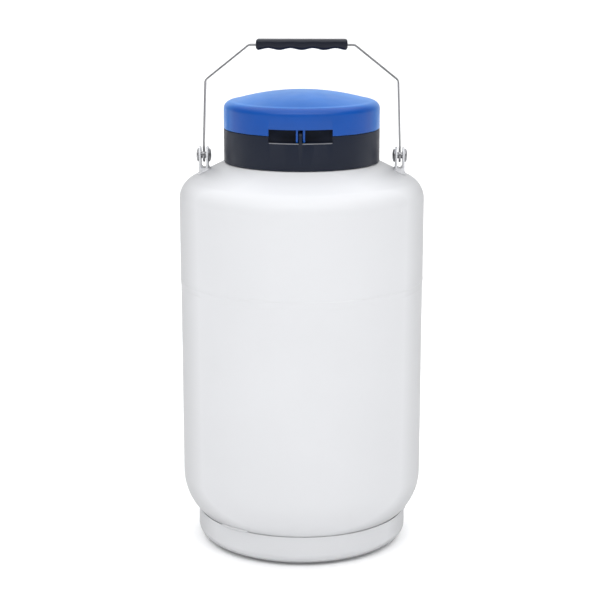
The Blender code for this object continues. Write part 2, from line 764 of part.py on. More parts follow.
def make_lid():
    lid = turned("lid", lid_skin(0.0) + lid_skin(LID_WALL)[::-1], "blue_plastic")
    low = (-RECESS_HALF_WIDTH, -LID_R - 5 * MM, LID_BOTTOM - 5 * MM)
    high = (RECESS_HALF_WIDTH, RECESS_BACK + 5 * MM, LID_NOTCH_TOP)
    cut_from(lid, box("lid_notch", low, high))
    for side in (-1, 1):
        middle = side * FIN_OFFSET
        ends = (middle - FIN_THICKNESS / 2, middle + FIN_THICKNESS / 2)
        join_to(lid, prism(f"lid_fin_{side}", fin_outline(), "X", *ends, "blue_plastic"))
    cut_from(lid, padlock_hole("fin_hole"))
    half = LID_KNUCKLE_HALF
    join_to(lid, lug("lid_knuckle", -half, half, LID_BOTTOM + 13 * MM, LID_BOTTOM + MM, "blue_plastic"))
    bore = rod("knuckle_bore", (HINGE_Y, HINGE_Z), HINGE_BORE_R, "X", -half - MM, half + MM)
    cut_from(lid, bore)
    return lid


def make_lid_liner():
    """A foam disc against the inside of the dome."""
    skin = [(LINER_R * share, dome_z(LINER_R * share) - LID_WALL - 2 * GAP) for share in (0.0, 0.4, 0.7, 1.0)]
    outline = skin + [(LINER_R, LINER_LOW), (0.0, LINER_LOW)]
    return turned("lid_liner", outline, "white_foam", MEDIUM_SIDES)


def make_lid_assembly():
    frame = empty("lid_hinge_axis", (0.0, HINGE_Y, HINGE_Z))
    hang_on(frame, make_lid(), make_lid_liner())


# ---------------------------------------------------------------- bail


def make_clevis(side_name, side):
    """A strap bent to a U, with its ears across X, standing on the shoulder's cone."""
    middle = side * PIVOT_X
    inner = CLEVIS_GAP / 2
    outer = inner + CLEVIS_EAR
    top = PIVOT_Z + CLEVIS_HALF_WIDTH
    bend = (middle, CLEVIS_INNER_BOTTOM + inner)
    trough = arc(bend, (inner, inner), 0.0, -math.pi, 6)
    near = (middle - outer, cone_z(abs(middle - outer)) + CLEVIS_BASE_GAP)
    far = (middle + outer, cone_z(abs(middle + outer)) + CLEVIS_BASE_GAP)
    right_ear = [near, far, (far[0], top), (middle + inner, top)]
    left_ear = [(middle - inner, top), (near[0], top)]
    outline = right_ear + trough + left_ear
    half = CLEVIS_HALF_WIDTH
    clevis = prism(f"clevis_{side_name}", outline, "Y", -half, half, "white_paint")
    head = arc((0.0, PIVOT_Z), (half, half), 0.0, math.pi, 10)
    base_z = PIVOT_Z - 40 * MM
    silhouette = [(half, base_z), *head, (-half, base_z)]
    reach = 15 * MM
    ends = (middle - reach, middle + reach)
    combine(clevis, prism(f"ear_head_{side_name}", silhouette, "X", *ends, "white_paint"), "INTERSECT")
    cut_from(clevis, rod(f"ear_hole_{side_name}", (0.0, PIVOT_Z), PIVOT_HOLE_R, "X", *ends))


def domed_head(base, height):
    """Outline of a domed head standing on base, from its rim to the axis."""
    rim = height * 0.3
    dome = arc((0.0, base + rim), (PIVOT_HEAD_R, height - rim), 0.0, math.pi / 2, 4)
    return [(PIVOT_HEAD_R, base), *dome[:-1], (0.0, base + height)]


def make_pivot(side_name, side):
    """The bolt through the clevis, headed on the outside, and its domed nut on the inside."""
    face = CLEVIS_GAP / 2 + CLEVIS_EAR + GAP
    tip = face + 1.6 * MM
    bolt_outline = [(0.0, -tip), (PIVOT_SHANK_R, -tip), (PIVOT_SHANK_R, face), *domed_head(face, PIVOT_HEAD)]
    bolt = turned(f"pivot_bolt_{side_name}", bolt_outline, "steel", SMALL_SIDES)
    nut_bore = PIVOT_SHANK_R + GAP
    bore_end = tip + GAP
    nut_outline = [(0.0, bore_end), (nut_bore, bore_end), (nut_bore, face), *domed_head(face, PIVOT_HEAD)]
    nut = turned(f"pivot_nut_{side_name}", nut_outline, "steel", SMALL_SIDES)
    for piece, outward in ((bolt, side), (nut, -side)):
        piece.location = (side * PIVOT_X, 0.0, PIVOT_Z)
        piece.rotation_euler.y = outward * math.pi / 2


def make_bail_strap():
    right = [
        (STRAP_EYE_X, PIVOT_Z),
        (STRAP_EYE_X, STRAP_LEG_STRAIGHT),
        (STRAP_CORNER_X, STRAP_CORNER_Z),
        (STRAP_TOP_X, STRAP_TOP_Z),
    ]
    left = [(-x, z) for x, z in right[::-1]]
    outline = ribbon(rounded(right + left, STRAP_BEND_R, 3), STRAP_THICKNESS)
    half = STRAP_HALF_WIDTH
    strap = prism("bail_strap", outline, "Y", -half, half, "steel")
    for side in (-1, 1):
        middle = side * STRAP_EYE_X
        eye_ends = (middle - STRAP_EYE_THICKNESS / 2, middle + STRAP_EYE_THICKNESS / 2)
        join_to(strap, rod(f"strap_eye_{side}", (0.0, PIVOT_Z), STRAP_EYE_R, "X", *eye_ends, 24))
    for side in (-1, 1):
        middle = side * STRAP_EYE_X
        hole_ends = (middle - 5 * MM, middle + 5 * MM)
        cut_from(strap, rod(f"strap_hole_{side}", (0.0, PIVOT_Z), PIVOT_HOLE_R, "X", *hole_ends))
    return strap


def grip_ring(x, inset):
    """A section of the grip: nearly a rectangle, with its underside raised under each finger."""
    low = GRIP_LOW + GRIP_FINGER_DEPTH * math.sin(math.pi * x / GRIP_FINGER_PITCH) ** 2 + inset
    high = GRIP_TOP - inset
    half_width = GRIP_HALF_WIDTH - inset
    middle = (low + high) / 2
    half_height = (high - low) / 2
    ring = []
    for step in range(GRIP_SIDES):
        angle = math.tau * (step + 0.5) / GRIP_SIDES
        across, up = math.cos(angle), math.sin(angle)
        y = half_width * math.copysign(abs(across) ** GRIP_SQUARENESS, across)
        z = middle + half_height * math.copysign(abs(up) ** GRIP_SQUARENESS, up)
        ring.append((x, y, z))
    return ring


def make_grip():
    straight = GRIP_HALF_LENGTH - GRIP_END_R
    stations = []
    for step in range(GRIP_END_STATIONS):
        angle = math.pi / 2 * step / GRIP_END_STATIONS
        x = straight + GRIP_END_R * math.cos(angle)
        stations.append((x, GRIP_END_R * (1 - math.sin(angle))))
    rings = [grip_ring(-x, inset) for x, inset in stations]
    rings += [
        grip_ring(straight * (2 * step / (GRIP_STATIONS - 1) - 1), 0.0) for step in range(GRIP_STATIONS)
    ]
    rings += [grip_ring(x, inset) for x, inset in stations[::-1]]
    grip = loft("grip", rings, "grip_rubber")
    reach = GRIP_HALF_LENGTH + 5 * MM
    half_width = STRAP_HALF_WIDTH + GAP
    half_height = STRAP_THICKNESS / 2 + GAP
    low = (-reach, -half_width, STRAP_TOP_Z - half_height)
    high = (reach, half_width, STRAP_TOP_Z + half_height)
    cut_from(grip, box("grip_slot", low, high))
    return grip


def make_bail_assembly():
    for side_name, side in (("left", -1), ("right", 1)):
        make_clevis(side_name, side)
        make_pivot(side_name, side)
    frame = empty("bail_axis", (0.0, 0.0, PIVOT_Z))
    hang_on(frame, make_bail_strap(), make_grip())


# ---------------------------------------------------------------- neck plug


def grooved_outline(radius):
    """A circle with a slot for each canister rod."""
    half = PLUG_GROOVE_WIDTH / 2
    mouth = math.asin(half / radius)
    floor = math.asin(half / PLUG_GROOVE_R)
    pitch = math.tau / CANISTER_COUNT
    outline = []
    for number in range(CANISTER_COUNT):
        middle = canister_azimuth(number)
        for angle in (middle - floor, middle + floor):
            outline.append((PLUG_GROOVE_R * math.cos(angle), PLUG_GROOVE_R * math.sin(angle)))
        outline += arc((0.0, 0.0), (radius, radius), middle + mouth, middle + pitch - mouth, 5)
    return outline


def make_plug_assembly():
    frame = empty("plug_axis", (0.0, 0.0, PLUG_CAP_LOW))
    plug_top = PLUG_CAP_LOW - GAP
    foam = prism("neck_plug", grooved_outline(PLUG_R), "Z", plug_top - PLUG_LENGTH, plug_top, "white_foam")
    cap_top = PLUG_CAP_LOW + PLUG_CAP_THICKNESS
    cap = prism("plug_cap", grooved_outline(PLUG_CAP_R), "Z", PLUG_CAP_LOW, cap_top, "white_plastic")
    base = cap_top + GAP
    outline = [
        (0.0, base),
        (KNOB_R * 0.8, base),
        (KNOB_WAIST_R, base + KNOB_HEIGHT * 0.35),
        (KNOB_R, base + KNOB_HEIGHT * 0.65),
        (KNOB_R, base + KNOB_HEIGHT * 0.85),
        (KNOB_R * 0.8, base + KNOB_HEIGHT),
        (0.0, base + KNOB_HEIGHT),
    ]
    knob = turned("plug_knob", outline, "white_plastic", SMALL_SIDES)
    hang_on(frame, foam, cap, knob)


# ---------------------------------------------------------------- canisters


def canister_azimuth(number):
    return math.tau * number / CANISTER_COUNT


def make_canister(number):
    """A cup on a rod. The frame is on the cup's own axis, with its -X towards the neck's axis."""
    azimuth = canister_azimuth(number)
    place = (CANISTER_CIRCLE * math.cos(azimuth), CANISTER_CIRCLE * math.sin(azimuth), CANISTER_BOTTOM)
    frame = empty(f"canister_{number + 1}_axis", place, azimuth)
    inner = CANISTER_R - CANISTER_WALL
    cup_outline = [
        (CANISTER_R, 0.0),
        (CANISTER_R, CANISTER_HEIGHT),
        (inner, CANISTER_HEIGHT),
        (inner, CANISTER_WALL),
        (CANISTER_DRAIN_R, CANISTER_WALL),
        (CANISTER_DRAIN_R, 0.0),
    ]
    name = f"canister_{number + 1}"
    cup = turned(f"{name}_cup", cup_outline, "steel", CANISTER_SIDES)
    corners = [(ROD_CIRCLE, ROD_BOTTOM), (ROD_CIRCLE, ROD_TOP), (ROD_REACH, ROD_TOP)]
    path = rounded(corners, ROD_BEND_R, 4)
    hook = [(radius - CANISTER_CIRCLE, 0.0, height - CANISTER_BOTTOM) for radius, height in path]
    bar = wire(f"{name}_rod", hook, ROD_R, "steel")
    bore = ROD_R + GAP
    sleeve_outline = [
        (bore, SLEEVE_START),
        (SLEEVE_R, SLEEVE_START),
        (SLEEVE_R, SLEEVE_END),
        (bore, SLEEVE_END),
    ]
    sleeve = turned(f"{name}_sleeve", sleeve_outline, "sleeve_plastic", SLEEVE_SIDES)
    sleeve.location = (-CANISTER_CIRCLE, 0.0, ROD_TOP - CANISTER_BOTTOM)
    sleeve.rotation_euler.y = math.pi / 2
    for piece in (cup, bar, sleeve):
        piece.parent = frame


# ---------------------------------------------------------------- vacuum port


def make_vacuum_port():
    """The evacuation port, its seal plug and its dust cap, square to the shoulder's cone."""
    place = (
        PORT_CIRCLE * math.cos(PORT_AZIMUTH),
        PORT_CIRCLE * math.sin(PORT_AZIMUTH),
        cone_z(PORT_CIRCLE),
    )
    port_outline = [
        (0.0, PORT_BASE_LOW),
        (PORT_BASE_R, PORT_BASE_LOW),
        (PORT_BASE_R, PORT_BASE_TOP),
        (PORT_TUBE_R, PORT_BASE_TOP),
        (PORT_TUBE_R, PORT_TOP),
        (PORT_BORE_R, PORT_TOP),
        (PORT_BORE_R, PORT_BORE_FLOOR),
        (0.0, PORT_BORE_FLOOR),
    ]
    seal_low = PORT_BORE_FLOOR + MM
    head_low = PORT_TOP + GAP
    head_top = head_low + SEAL_HEAD
    seal_outline = [
        (0.0, seal_low),
        (SEAL_R, seal_low),
        (SEAL_R, head_low),
        (SEAL_HEAD_R, head_low),
        (SEAL_HEAD_R, head_top),
        (0.0, head_top),
    ]
    roof_low = head_top + GAP
    roof_top = roof_low + PORT_CAP_ROOF
    cap_low = PORT_BASE_TOP + GAP
    cap_outline = [
        (0.0, roof_low),
        (PORT_CAP_BORE_R, roof_low),
        (PORT_CAP_BORE_R, cap_low),
        (PORT_CAP_R, cap_low),
        (PORT_CAP_R, roof_top - MM),
        (PORT_CAP_R - MM, roof_top),
        (0.0, roof_top),
    ]
    port = turned("vacuum_port", port_outline, "bare_aluminium", MEDIUM_SIDES)
    seal = turned("vacuum_seal_plug", seal_outline, "bare_aluminium", SMALL_SIDES)
    cap = turned("vacuum_port_cap", cap_outline, "black_plastic", MEDIUM_SIDES)
    for piece in (port, seal, cap):
        piece.location = place
        piece.rotation_euler = (0.0, SHOULDER_SLOPE, PORT_AZIMUTH)


def main():
    clear_scene()
    make_outer_shell()
    make_foot_pan()
    make_foot_welds()
    make_inner_vessel()
    make_neck_tube()
    make_vacuum_space()
    make_neck_flange()
    make_index_ring()
    make_collar()
    make_collar_screws()
    make_hinge_pin()
    make_lid_assembly()
    make_bail_assembly()
    make_plug_assembly()
    for number in range(CANISTER_COUNT):
        make_canister(number)
    make_vacuum_port()


main()
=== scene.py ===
"""Looks of the liquid nitrogen dewar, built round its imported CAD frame.

The outer vessel, collar, lid, bail and plug's top are built again here as fine meshes with rounded
edges, and the other CAD nodes get procedural materials. Lengths are in metres and in the CAD frame:
the origin is under the foot's centre, +Z points up and the padlock recess faces -Y.
"""

import json
import math

import bmesh
import bpy
from mathutils import Euler, Matrix, Vector


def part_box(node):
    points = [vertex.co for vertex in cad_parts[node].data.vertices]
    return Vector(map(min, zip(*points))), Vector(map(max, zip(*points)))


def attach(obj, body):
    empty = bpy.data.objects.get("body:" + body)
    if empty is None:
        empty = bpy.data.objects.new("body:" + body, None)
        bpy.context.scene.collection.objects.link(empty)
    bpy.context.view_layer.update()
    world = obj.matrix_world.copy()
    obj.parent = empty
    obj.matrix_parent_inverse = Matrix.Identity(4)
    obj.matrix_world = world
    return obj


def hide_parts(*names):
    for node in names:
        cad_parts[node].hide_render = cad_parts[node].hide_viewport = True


MM = 0.001
GAP = 0.3 * MM
FINE_SIDES = 144  # sides of a large turned piece
SMALL_SIDES = 48  # sides of a small turned piece
ARC_STEPS = 6  # steps of a rounded corner
MERGE_DISTANCE = 1e-6
CUT_OVER = 5.0 * MM  # how far a cutter reaches past what it cuts
BEAD_SMOOTH_ANGLE = 60.0

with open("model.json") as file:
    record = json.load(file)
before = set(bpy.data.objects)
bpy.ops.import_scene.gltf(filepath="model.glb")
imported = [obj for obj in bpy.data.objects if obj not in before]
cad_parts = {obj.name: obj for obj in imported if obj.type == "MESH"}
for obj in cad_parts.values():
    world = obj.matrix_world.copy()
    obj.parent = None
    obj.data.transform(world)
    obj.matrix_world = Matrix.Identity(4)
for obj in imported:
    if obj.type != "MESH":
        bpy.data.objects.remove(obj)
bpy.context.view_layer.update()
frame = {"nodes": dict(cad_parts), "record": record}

# ---------------------------------------------------------------- sizes that the frame gives

shell_low, shell_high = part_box("outer_shell_upper")
UPPER_R = shell_high.x
SEAM_TOP = shell_low.z
LEDGE_Z = shell_high.z
_, base_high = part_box("outer_shell_lower")
LOWER_R = base_high.x
SEAM_BOTTOM = base_high.z
_, foot_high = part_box("foot_pan")
FOOT_R = foot_high.x
collar_low, collar_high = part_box("collar")
COLLAR_R = collar_high.x
COLLAR_BOTTOM = collar_low.z
SPIGOT_TOP = collar_high.z
lid_low, lid_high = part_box("lid")
LID_R = lid_high.x
LID_APEX = lid_high.z
FIN_LOW = lid_low.z
_, strap_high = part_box("bail_strap")
STRAP_HALF_WIDTH = 7.0 * MM
grip_low, grip_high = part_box("grip")
pin_low, pin_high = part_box("hinge_pin")
HINGE_Z = (pin_low.z + pin_high.z) / 2
HINGE_Y = (pin_low.y + pin_high.y) / 2
knob_low, knob_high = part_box("plug_knob")
ring_low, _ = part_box("index_ring")
bolt_low, bolt_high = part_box("pivot_bolt_right")
PIVOT_Z = (bolt_low.z + bolt_high.z) / 2

# ---------------------------------------------------------------- sizes of the shapes between them

SHELL_WALL = 2.0 * MM
SHELL_EDGE = 0.3 * MM
SHOULDER_START = 434.0 * MM
SHOULDER_RADIUS = 27.7 * MM
SHOULDER_SLOPE = math.radians(26.4)
CONE_END_R = 76.0 * MM
LEDGE_R = 72.0 * MM
SHELL_MOUTH_R = 46.0 * MM
SEAM_PROUD = 0.3 * MM
KNUCKLE_Z = 87.3 * MM
KNUCKLE_RADIUS = 67.0 * MM
KNUCKLE_SWEEP = math.radians(75.0)

FOOT_WALL = 2.0 * MM
FOOT_CORNER_R = 26.3 * MM
FOOT_CORNER_H = 16.7 * MM
FOOT_HOLE_R = 84.0 * MM
FOOT_RIM_GAP = 0.35 * MM
FOOT_WELD_LENGTH = math.radians(18.0)
FOOT_WELD_FIRST = math.radians(-128.0)
FOOT_WELD_COUNT = 3
FOOT_WELD_OUT = 0.5 * MM  # the bead's middle, outside the foot
FOOT_WELD_UP = 0.9 * MM  # the bead's middle, above the foot's rim
FOOT_WELD_R = 2.2 * MM
FOOT_WELD_END = 0.15  # share of the radius that is left at each end
FOOT_WELD_BLUNTNESS = 0.25
FOOT_WELD_RIPPLES = 14
FOOT_WELD_RIPPLE = 0.08

COLLAR_WALL = 5.0 * MM
COLLAR_TOP = 519.9 * MM
COLLAR_FLOOR = ring_low.z
COLLAR_FLOOR_THICKNESS = 2.2 * MM
COLLAR_MOUTH_R = 52.0 * MM
SPIGOT_OUTER_R = 91.2 * MM
SPIGOT_INNER_R = 88.3 * MM
SPIGOT_LOW = 512.0 * MM

RECESS_HALF_WIDTH = 37.6 * MM
RECESS_FLOOR = 512.5 * MM
RECESS_BACK = -80.0 * MM
RECESS_WALL = 2.3 * MM
RECESS_BACK_TOP = 527.0 * MM
RECESS_CHAMFER = 1.2 * MM
HASP_THICKNESS = 3.2 * MM
HASP_FRONT = -96.6 * MM
HASP_LOW = 508.8 * MM
HASP_TOP = 525.0 * MM
HASP_HOLE_Y = -88.5 * MM
HASP_HOLE_Z = 518.8 * MM
HASP_HOLE_R = 3.5 * MM
FIN_OFFSET = 4.1 * MM
FIN_THICKNESS = 2.4 * MM
FIN_FRONT = -93.6 * MM
FIN_BACK = -82.5 * MM

LID_WALL = 2.8 * MM
LID_BOTTOM = COLLAR_TOP + 0.4 * MM
LID_SIDE_TOP = 543.8 * MM
LID_CORNER_R = 10.7 * MM
LID_DOME_LOW = 553.2 * MM
LID_NOTCH_TOP = 528.2 * MM
LINER_R = 76.0 * MM
LINER_LOW = 548.5 * MM

KNUCKLE_R = 4.6 * MM
LID_KNUCKLE_HALF = 12.0 * MM
LUG_INNER = 12.5 * MM
LUG_OUTER = 21.0 * MM
LUG_ROOT_DEPTH = 1.8 * MM
LUG_SWEEP = math.pi * 0.72
COLLAR_LUG_TOE = 16.0 * MM
LID_KNUCKLE_TOE = 13.0 * MM
HINGE_PIN_R = 1.8 * MM
HINGE_BORE_R = 2.1 * MM

PIVOT_X = 119.8 * MM
CLEVIS_GAP = 6.4 * MM
CLEVIS_EAR = 2.5 * MM
CLEVIS_HALF_WIDTH = 10.5 * MM
CLEVIS_INNER_BOTTOM = 470.5 * MM
CLEVIS_BASE_GAP = 0.5 * MM
CLEVIS_BEAD_R = 1.5 * MM
CLEVIS_BEAD_UP = 0.5 * MM
CLEVIS_BEAD_STEP = 0.5 * MM
CLEVIS_BEAD_RIPPLE = 0.1
CLEVIS_BEAD_RIPPLE_TURN = 1.9  # radians from one section to the next
PIVOT_SHANK_R = 3.8 * MM
PIVOT_HOLE_R = 4.2 * MM
PIVOT_HEAD_R = 8.1 * MM
PIVOT_HEAD = 3.2 * MM
PIVOT_HEAD_RIM = 0.3  # share of the head's height that is upright
PIVOT_TIP = 1.6 * MM
HEX_KEY_R = 2.9 * MM
HEX_KEY_FLOOR = 0.8 * MM
STRAP_THICKNESS = 2.0 * MM
STRAP_EYE_R = 8.4 * MM
STRAP_EYE_THICKNESS = 2.3 * MM
STRAP_EYE_X = PIVOT_X - 0.2 * MM
STRAP_LEG_STRAIGHT = 500.0 * MM
STRAP_LEG_BEND_R = 30.0 * MM
STRAP_CORNER_X = 116.8 * MM
STRAP_CORNER_Z = 577.5 * MM
STRAP_TOP_X = 63.9 * MM
STRAP_TOP_Z = strap_high.z - STRAP_THICKNESS / 2
STRAP_BEND_R = 6.0 * MM

GRIP_FINGER_PITCH = 27.0 * MM
GRIP_FINGER_DEPTH = 2.2 * MM
GRIP_END_R = 3.5 * MM
GRIP_HALF_WIDTH = 10.0 * MM
GRIP_SQUARENESS = 0.55

# ---------------------------------------------------------------- camera and light

CAMERA_DISTANCE = 2.0504
CAMERA_HEIGHT = 0.7751
CAMERA_PITCH = math.radians(12.94)
CAMERA_AZIMUTH = math.radians(1.0)
CAMERA_LENS = 101.18  # mm, on a 36 mm sensor
CAMERA_SIDESTEP = -2.15 * MM
SKY = (0.985, 0.99, 1.0)
SKY_ALL_ROUND = 0.12  # radiance of the room on every side
SKY_FRONT = 0.05  # what the front adds to it
SKY_BEHIND = 0.9  # what the wall behind adds to it
SKY_OVERHEAD = 2.0  # what the ceiling adds to it
WALL_STARTS = 0.2  # share of straight ahead at which a wall's light starts
WALL_FULL = 0.9
CEILING_STARTS = 0.50  # share of straight up at which the ceiling's light starts
CEILING_FULL = 0.88
SOFTBOX_PLACE = (0.0, -2.3, 2.7)
SOFTBOX_TARGET = (0.0, 0.0, 0.5)
SOFTBOX_SIZE = (5.6, 0.6)
SOFTBOX_RADIANCE = 5.0
FLOOR_HALF = 30.0
FLOOR_COLOUR = (0.93, 0.93, 0.93)
FLOOR_GLOW = 0.06  # radiance that the floor gives off by itself

# ---------------------------------------------------------------- materials

DRIFT_LOW = 0.3  # factor up to which the colour is the darker tone
DRIFT_HIGH = 0.7
EDGE_STARTS = 0.5  # how far the surface has turned away when the painted edge light and shade starts
EDGE_FULL = 0.9
PAINT_WHITE = (0.66, 0.665, 0.68)
# painted shade: factor that darkens the white paint where it turns away from view
PAINT_EDGE_SHADE = (0.55, 0.55, 0.55)
LID_BLUE = (0.002, 0.066, 0.335)
# painted light: factor that makes the blue lid lighter and greener where it is seen at a low angle
LID_EDGE_LIGHT = (1.5, 2.9, 1.85)
PLASTIC_SPREAD = 0.05  # what uneven gloss adds to a plastic's roughness range on both sides


def new_node(tree, kind, **settings):
    """A node with its properties and its unlinked inputs set by name."""
    node = tree.nodes.new(kind)
    for key, value in settings.items():
        if key in node.inputs:
            node.inputs[key].default_value = value
        else:
            setattr(node, key, value)
    return node


def surface(name, colour, roughness, metallic=0.0):
    """A Principled material, and the noise coordinates that its texture uses."""
    made = bpy.data.materials.new(name)
    made.use_nodes = True
    tree = made.node_tree
    shader = tree.nodes["Principled BSDF"]
    shader.inputs["Base Color"].default_value = (*colour, 1.0)
    shader.inputs["Roughness"].default_value = roughness
    shader.inputs["Metallic"].default_value = metallic
    coords = new_node(tree, "ShaderNodeTexCoord")
    return made, tree, shader, coords.outputs["Object"]


def stretched(tree, coords, scale):
    mapping = new_node(tree, "ShaderNodeMapping", Scale=scale)
    tree.links.new(coords, mapping.inputs["Vector"])
    return mapping.outputs["Vector"]


def noise(tree, coords, scale, detail=3.0):
    node = new_node(tree, "ShaderNodeTexNoise", Scale=scale, Detail=detail)
    tree.links.new(coords, node.inputs["Vector"])
    return node.outputs["Fac"]


def vary_colour(tree, shader, factor, dark, light):
    """Base colour that drifts between two tones with the factor."""
    tones = new_node(tree, "ShaderNodeValToRGB")
    first, second = tones.color_ramp.elements
    first.position = DRIFT_LOW
    first.color = (*dark, 1.0)
    second.position = DRIFT_HIGH
    second.color = (*light, 1.0)
    tree.links.new(factor, tones.inputs["Fac"])
    tree.links.new(tones.outputs["Color"], shader.inputs["Base Color"])


def vary_roughness(tree, shader, factor, smooth, rough):
    """Roughness that goes from smooth to rough as the factor goes from 0 to 1."""
    node = new_node(tree, "ShaderNodeMapRange", **{"To Min": smooth, "To Max": rough})
    tree.links.new(factor, node.inputs["Value"])
    tree.links.new(node.outputs["Result"], shader.inputs["Roughness"])


def relief(tree, shader, height, depth, strength=1.0):
    """A bump of that real depth on the shader's normal."""
    bump = new_node(tree, "ShaderNodeBump", Distance=depth, Strength=strength)
    tree.links.new(height, bump.inputs["Height"])
    tree.links.new(bump.outputs["Normal"], shader.inputs["Normal"])


def paint_edge_light_and_shade(tree, shader, painted_light_factor):
    """Painted light and shade: the base colour is multiplied by a factor where the surface turns away from
    view, so its edges are painted darker or lighter.
    """
    toned = shader.inputs["Base Color"].links[0].from_socket
    facing = new_node(tree, "ShaderNodeLayerWeight", Blend=0.5)
    amount = new_node(tree, "ShaderNodeMapRange", **{"From Min": EDGE_STARTS, "From Max": EDGE_FULL})
    tree.links.new(facing.outputs["Facing"], amount.inputs["Value"])
    # painted light and shade: the factor is mixed in towards the edges
    mix = new_node(tree, "ShaderNodeMixRGB", blend_type="MULTIPLY", Color2=(*painted_light_factor, 1.0))
    tree.links.new(amount.outputs["Result"], mix.inputs["Fac"])
    tree.links.new(toned, mix.inputs["Color1"])
    tree.links.new(mix.outputs["Color"], shader.inputs["Base Color"])


def scaled(colour, share):
    return tuple(channel * share for channel in colour)


def make_white_paint():
    """Stoved enamel with a slight orange peel and faint rubbing marks, and painted shade: its colour is
    darker where the surface turns away from view.
    """
    smooth, rough = 0.285, 0.36
    made, tree, shader, coords = surface("white_paint", PAINT_WHITE, smooth)
    drift = noise(tree, coords, 9.0, 2.0)
    rubbing = noise(tree, coords, 35.0, 2.0)
    orange_peel = noise(tree, coords, 600.0, 1.0)
    vary_colour(tree, shader, drift, scaled(PAINT_WHITE, 0.99), scaled(PAINT_WHITE, 1.01))
    vary_roughness(tree, shader, rubbing, smooth, rough)
    relief(tree, shader, orange_peel, 0.003 * MM)
    shader.inputs["Specular IOR Level"].default_value = 0.2
    # painted shade: darker colour towards the edges
    paint_edge_light_and_shade(tree, shader, PAINT_EDGE_SHADE)
    return made


def make_moulded_plastic(name, colour, smooth, rough, grain_depth, sheen=0.25):
    """Injection-moulded plastic with a spark-eroded grain and uneven gloss."""
    made, tree, shader, coords = surface(name, colour, smooth)
    flow = noise(tree, coords, 22.0, 4.0)
    gloss = noise(tree, coords, 60.0, 6.0)
    grain = noise(tree, coords, 1500.0, 2.0)
    vary_colour(tree, shader, flow, scaled(colour, 0.93), scaled(colour, 1.06))
    vary_roughness(tree, shader, gloss, smooth - PLASTIC_SPREAD, rough + PLASTIC_SPREAD)
    relief(tree, shader, grain, grain_depth)
    shader.inputs["Specular IOR Level"].default_value = sheen
    return made


def make_lid_plastic():
    """Blue plastic with painted light: lighter and greener where it is seen at a low angle, mostly on the
    dome, standing in for the stronger light from above.
    """
    made = make_moulded_plastic("blue_plastic", LID_BLUE, 0.34, 0.38, 0.02 * MM, 0.28)
    # painted light: lighter, greener colour where the lid is seen at a low angle
    paint_edge_light_and_shade(made.node_tree, made.node_tree.nodes["Principled BSDF"], LID_EDGE_LIGHT)
    return made


def make_brushed_metal(name, colour, smooth, rough, along):
    """Metal with fine lines, long in the direction in which the scale is small."""
    made, tree, shader, coords = surface(name, colour, smooth, 1.0)
    lines = noise(tree, stretched(tree, coords, along), 700.0, 4.0)
    stains = noise(tree, coords, 55.0, 5.0)
    vary_colour(tree, shader, stains, scaled(colour, 0.88), scaled(colour, 1.05))
    vary_roughness(tree, shader, lines, smooth, rough)
    relief(tree, shader, lines, 0.01 * MM)
    return made


def make_foam(name, colour):
    """Closed-cell foam with a pattern of small beads."""
    made, tree, shader, coords = surface(name, colour, 0.85)
    cells = new_node(tree, "ShaderNodeTexVoronoi", Scale=420.0)
    tree.links.new(coords, cells.inputs["Vector"])
    vary_colour(tree, shader, cells.outputs["Distance"], scaled(colour, 1.03), scaled(colour, 0.86))
    relief(tree, shader, cells.outputs["Distance"], -0.25 * MM)
    return made


def make_glass_fibre():
    """Resin-bound glass cloth, whose weave shows through."""
    colour = (0.55, 0.50, 0.33)
    made, tree, shader, coords = surface("glass_fibre", colour, 0.4)
    weave = new_node(tree, "ShaderNodeTexBrick", Scale=300.0)
    tree.links.new(coords, weave.inputs["Vector"])
    vary_colour(tree, shader, noise(tree, coords, 180.0), scaled(colour, 0.8), scaled(colour, 1.1))
    relief(tree, shader, weave.outputs["Fac"], 0.1 * MM)
    return made


def make_foil():
    """Crinkled metal foil."""
    colour = (0.78, 0.78, 0.80)
    made, tree, shader, coords = surface("foil", colour, 0.25, 1.0)
    creases = new_node(tree, "ShaderNodeTexVoronoi", Scale=70.0)
    tree.links.new(coords, creases.inputs["Vector"])
    vary_colour(tree, shader, noise(tree, coords, 30.0), scaled(colour, 0.85), colour)
    relief(tree, shader, creases.outputs["Distance"], 1.2 * MM)
    return made


def make_materials():
    plastic = make_moulded_plastic
    metal = make_brushed_metal
    return {
        "white_paint": make_white_paint(),
        "blue_plastic": make_lid_plastic(),
        "black_plastic": plastic("black_plastic", (0.005, 0.009, 0.022), 0.38, 0.50, 0.03 * MM),
        # painted highlight: a pale copy of the collar's black plastic for the lit edge of the padlock
        # recess
        "painted_highlight_plastic": plastic("painted_highlight_plastic", (0.16, 0.165, 0.18), 0.34, 0.38, 0.01 * MM, 0.5),
        "white_plastic": plastic("white_plastic", (0.78, 0.78, 0.76), 0.35, 0.45, 0.02 * MM),
        "sleeve_plastic": plastic("sleeve_plastic", (0.55, 0.04, 0.03), 0.35, 0.45, 0.02 * MM),
        "grip_rubber": plastic("grip_rubber", (0.007, 0.009, 0.018), 0.34, 0.42, 0.04 * MM),
        "steel": metal("steel", (0.30, 0.30, 0.31), 0.29, 0.42, (1.0, 1.0, 0.05)),
        "stainless_steel": metal("stainless_steel", (0.55, 0.55, 0.56), 0.29, 0.38, (1.0, 1.0, 0.05)),
        "bare_aluminium": metal("bare_aluminium", (0.62, 0.63, 0.65), 0.32, 0.45, (0.2, 0.2, 1.0)),
        "foam": make_foam("foam", (0.80, 0.80, 0.78)),
        "fleece": make_foam("fleece", (0.75, 0.74, 0.70)),
        "glass_fibre": make_glass_fibre(),
        "insulation": make_foil(),
    }


materials = make_materials()

# ---------------------------------------------------------------- outlines


def arc(centre, radii, start, end, steps):
    """Points on an ellipse about centre, from one angle to another, both ends included."""
    points = []
    for step in range(steps + 1):
        angle = start + (end - start) * step / steps
        points.append((centre[0] + radii[0] * math.cos(angle), centre[1] + radii[1] * math.sin(angle)))
    return points


def circle(centre, radius, sides):
    half_side = math.pi / sides
    return arc(centre, (radius, radius), half_side, math.tau - half_side, sides - 1)


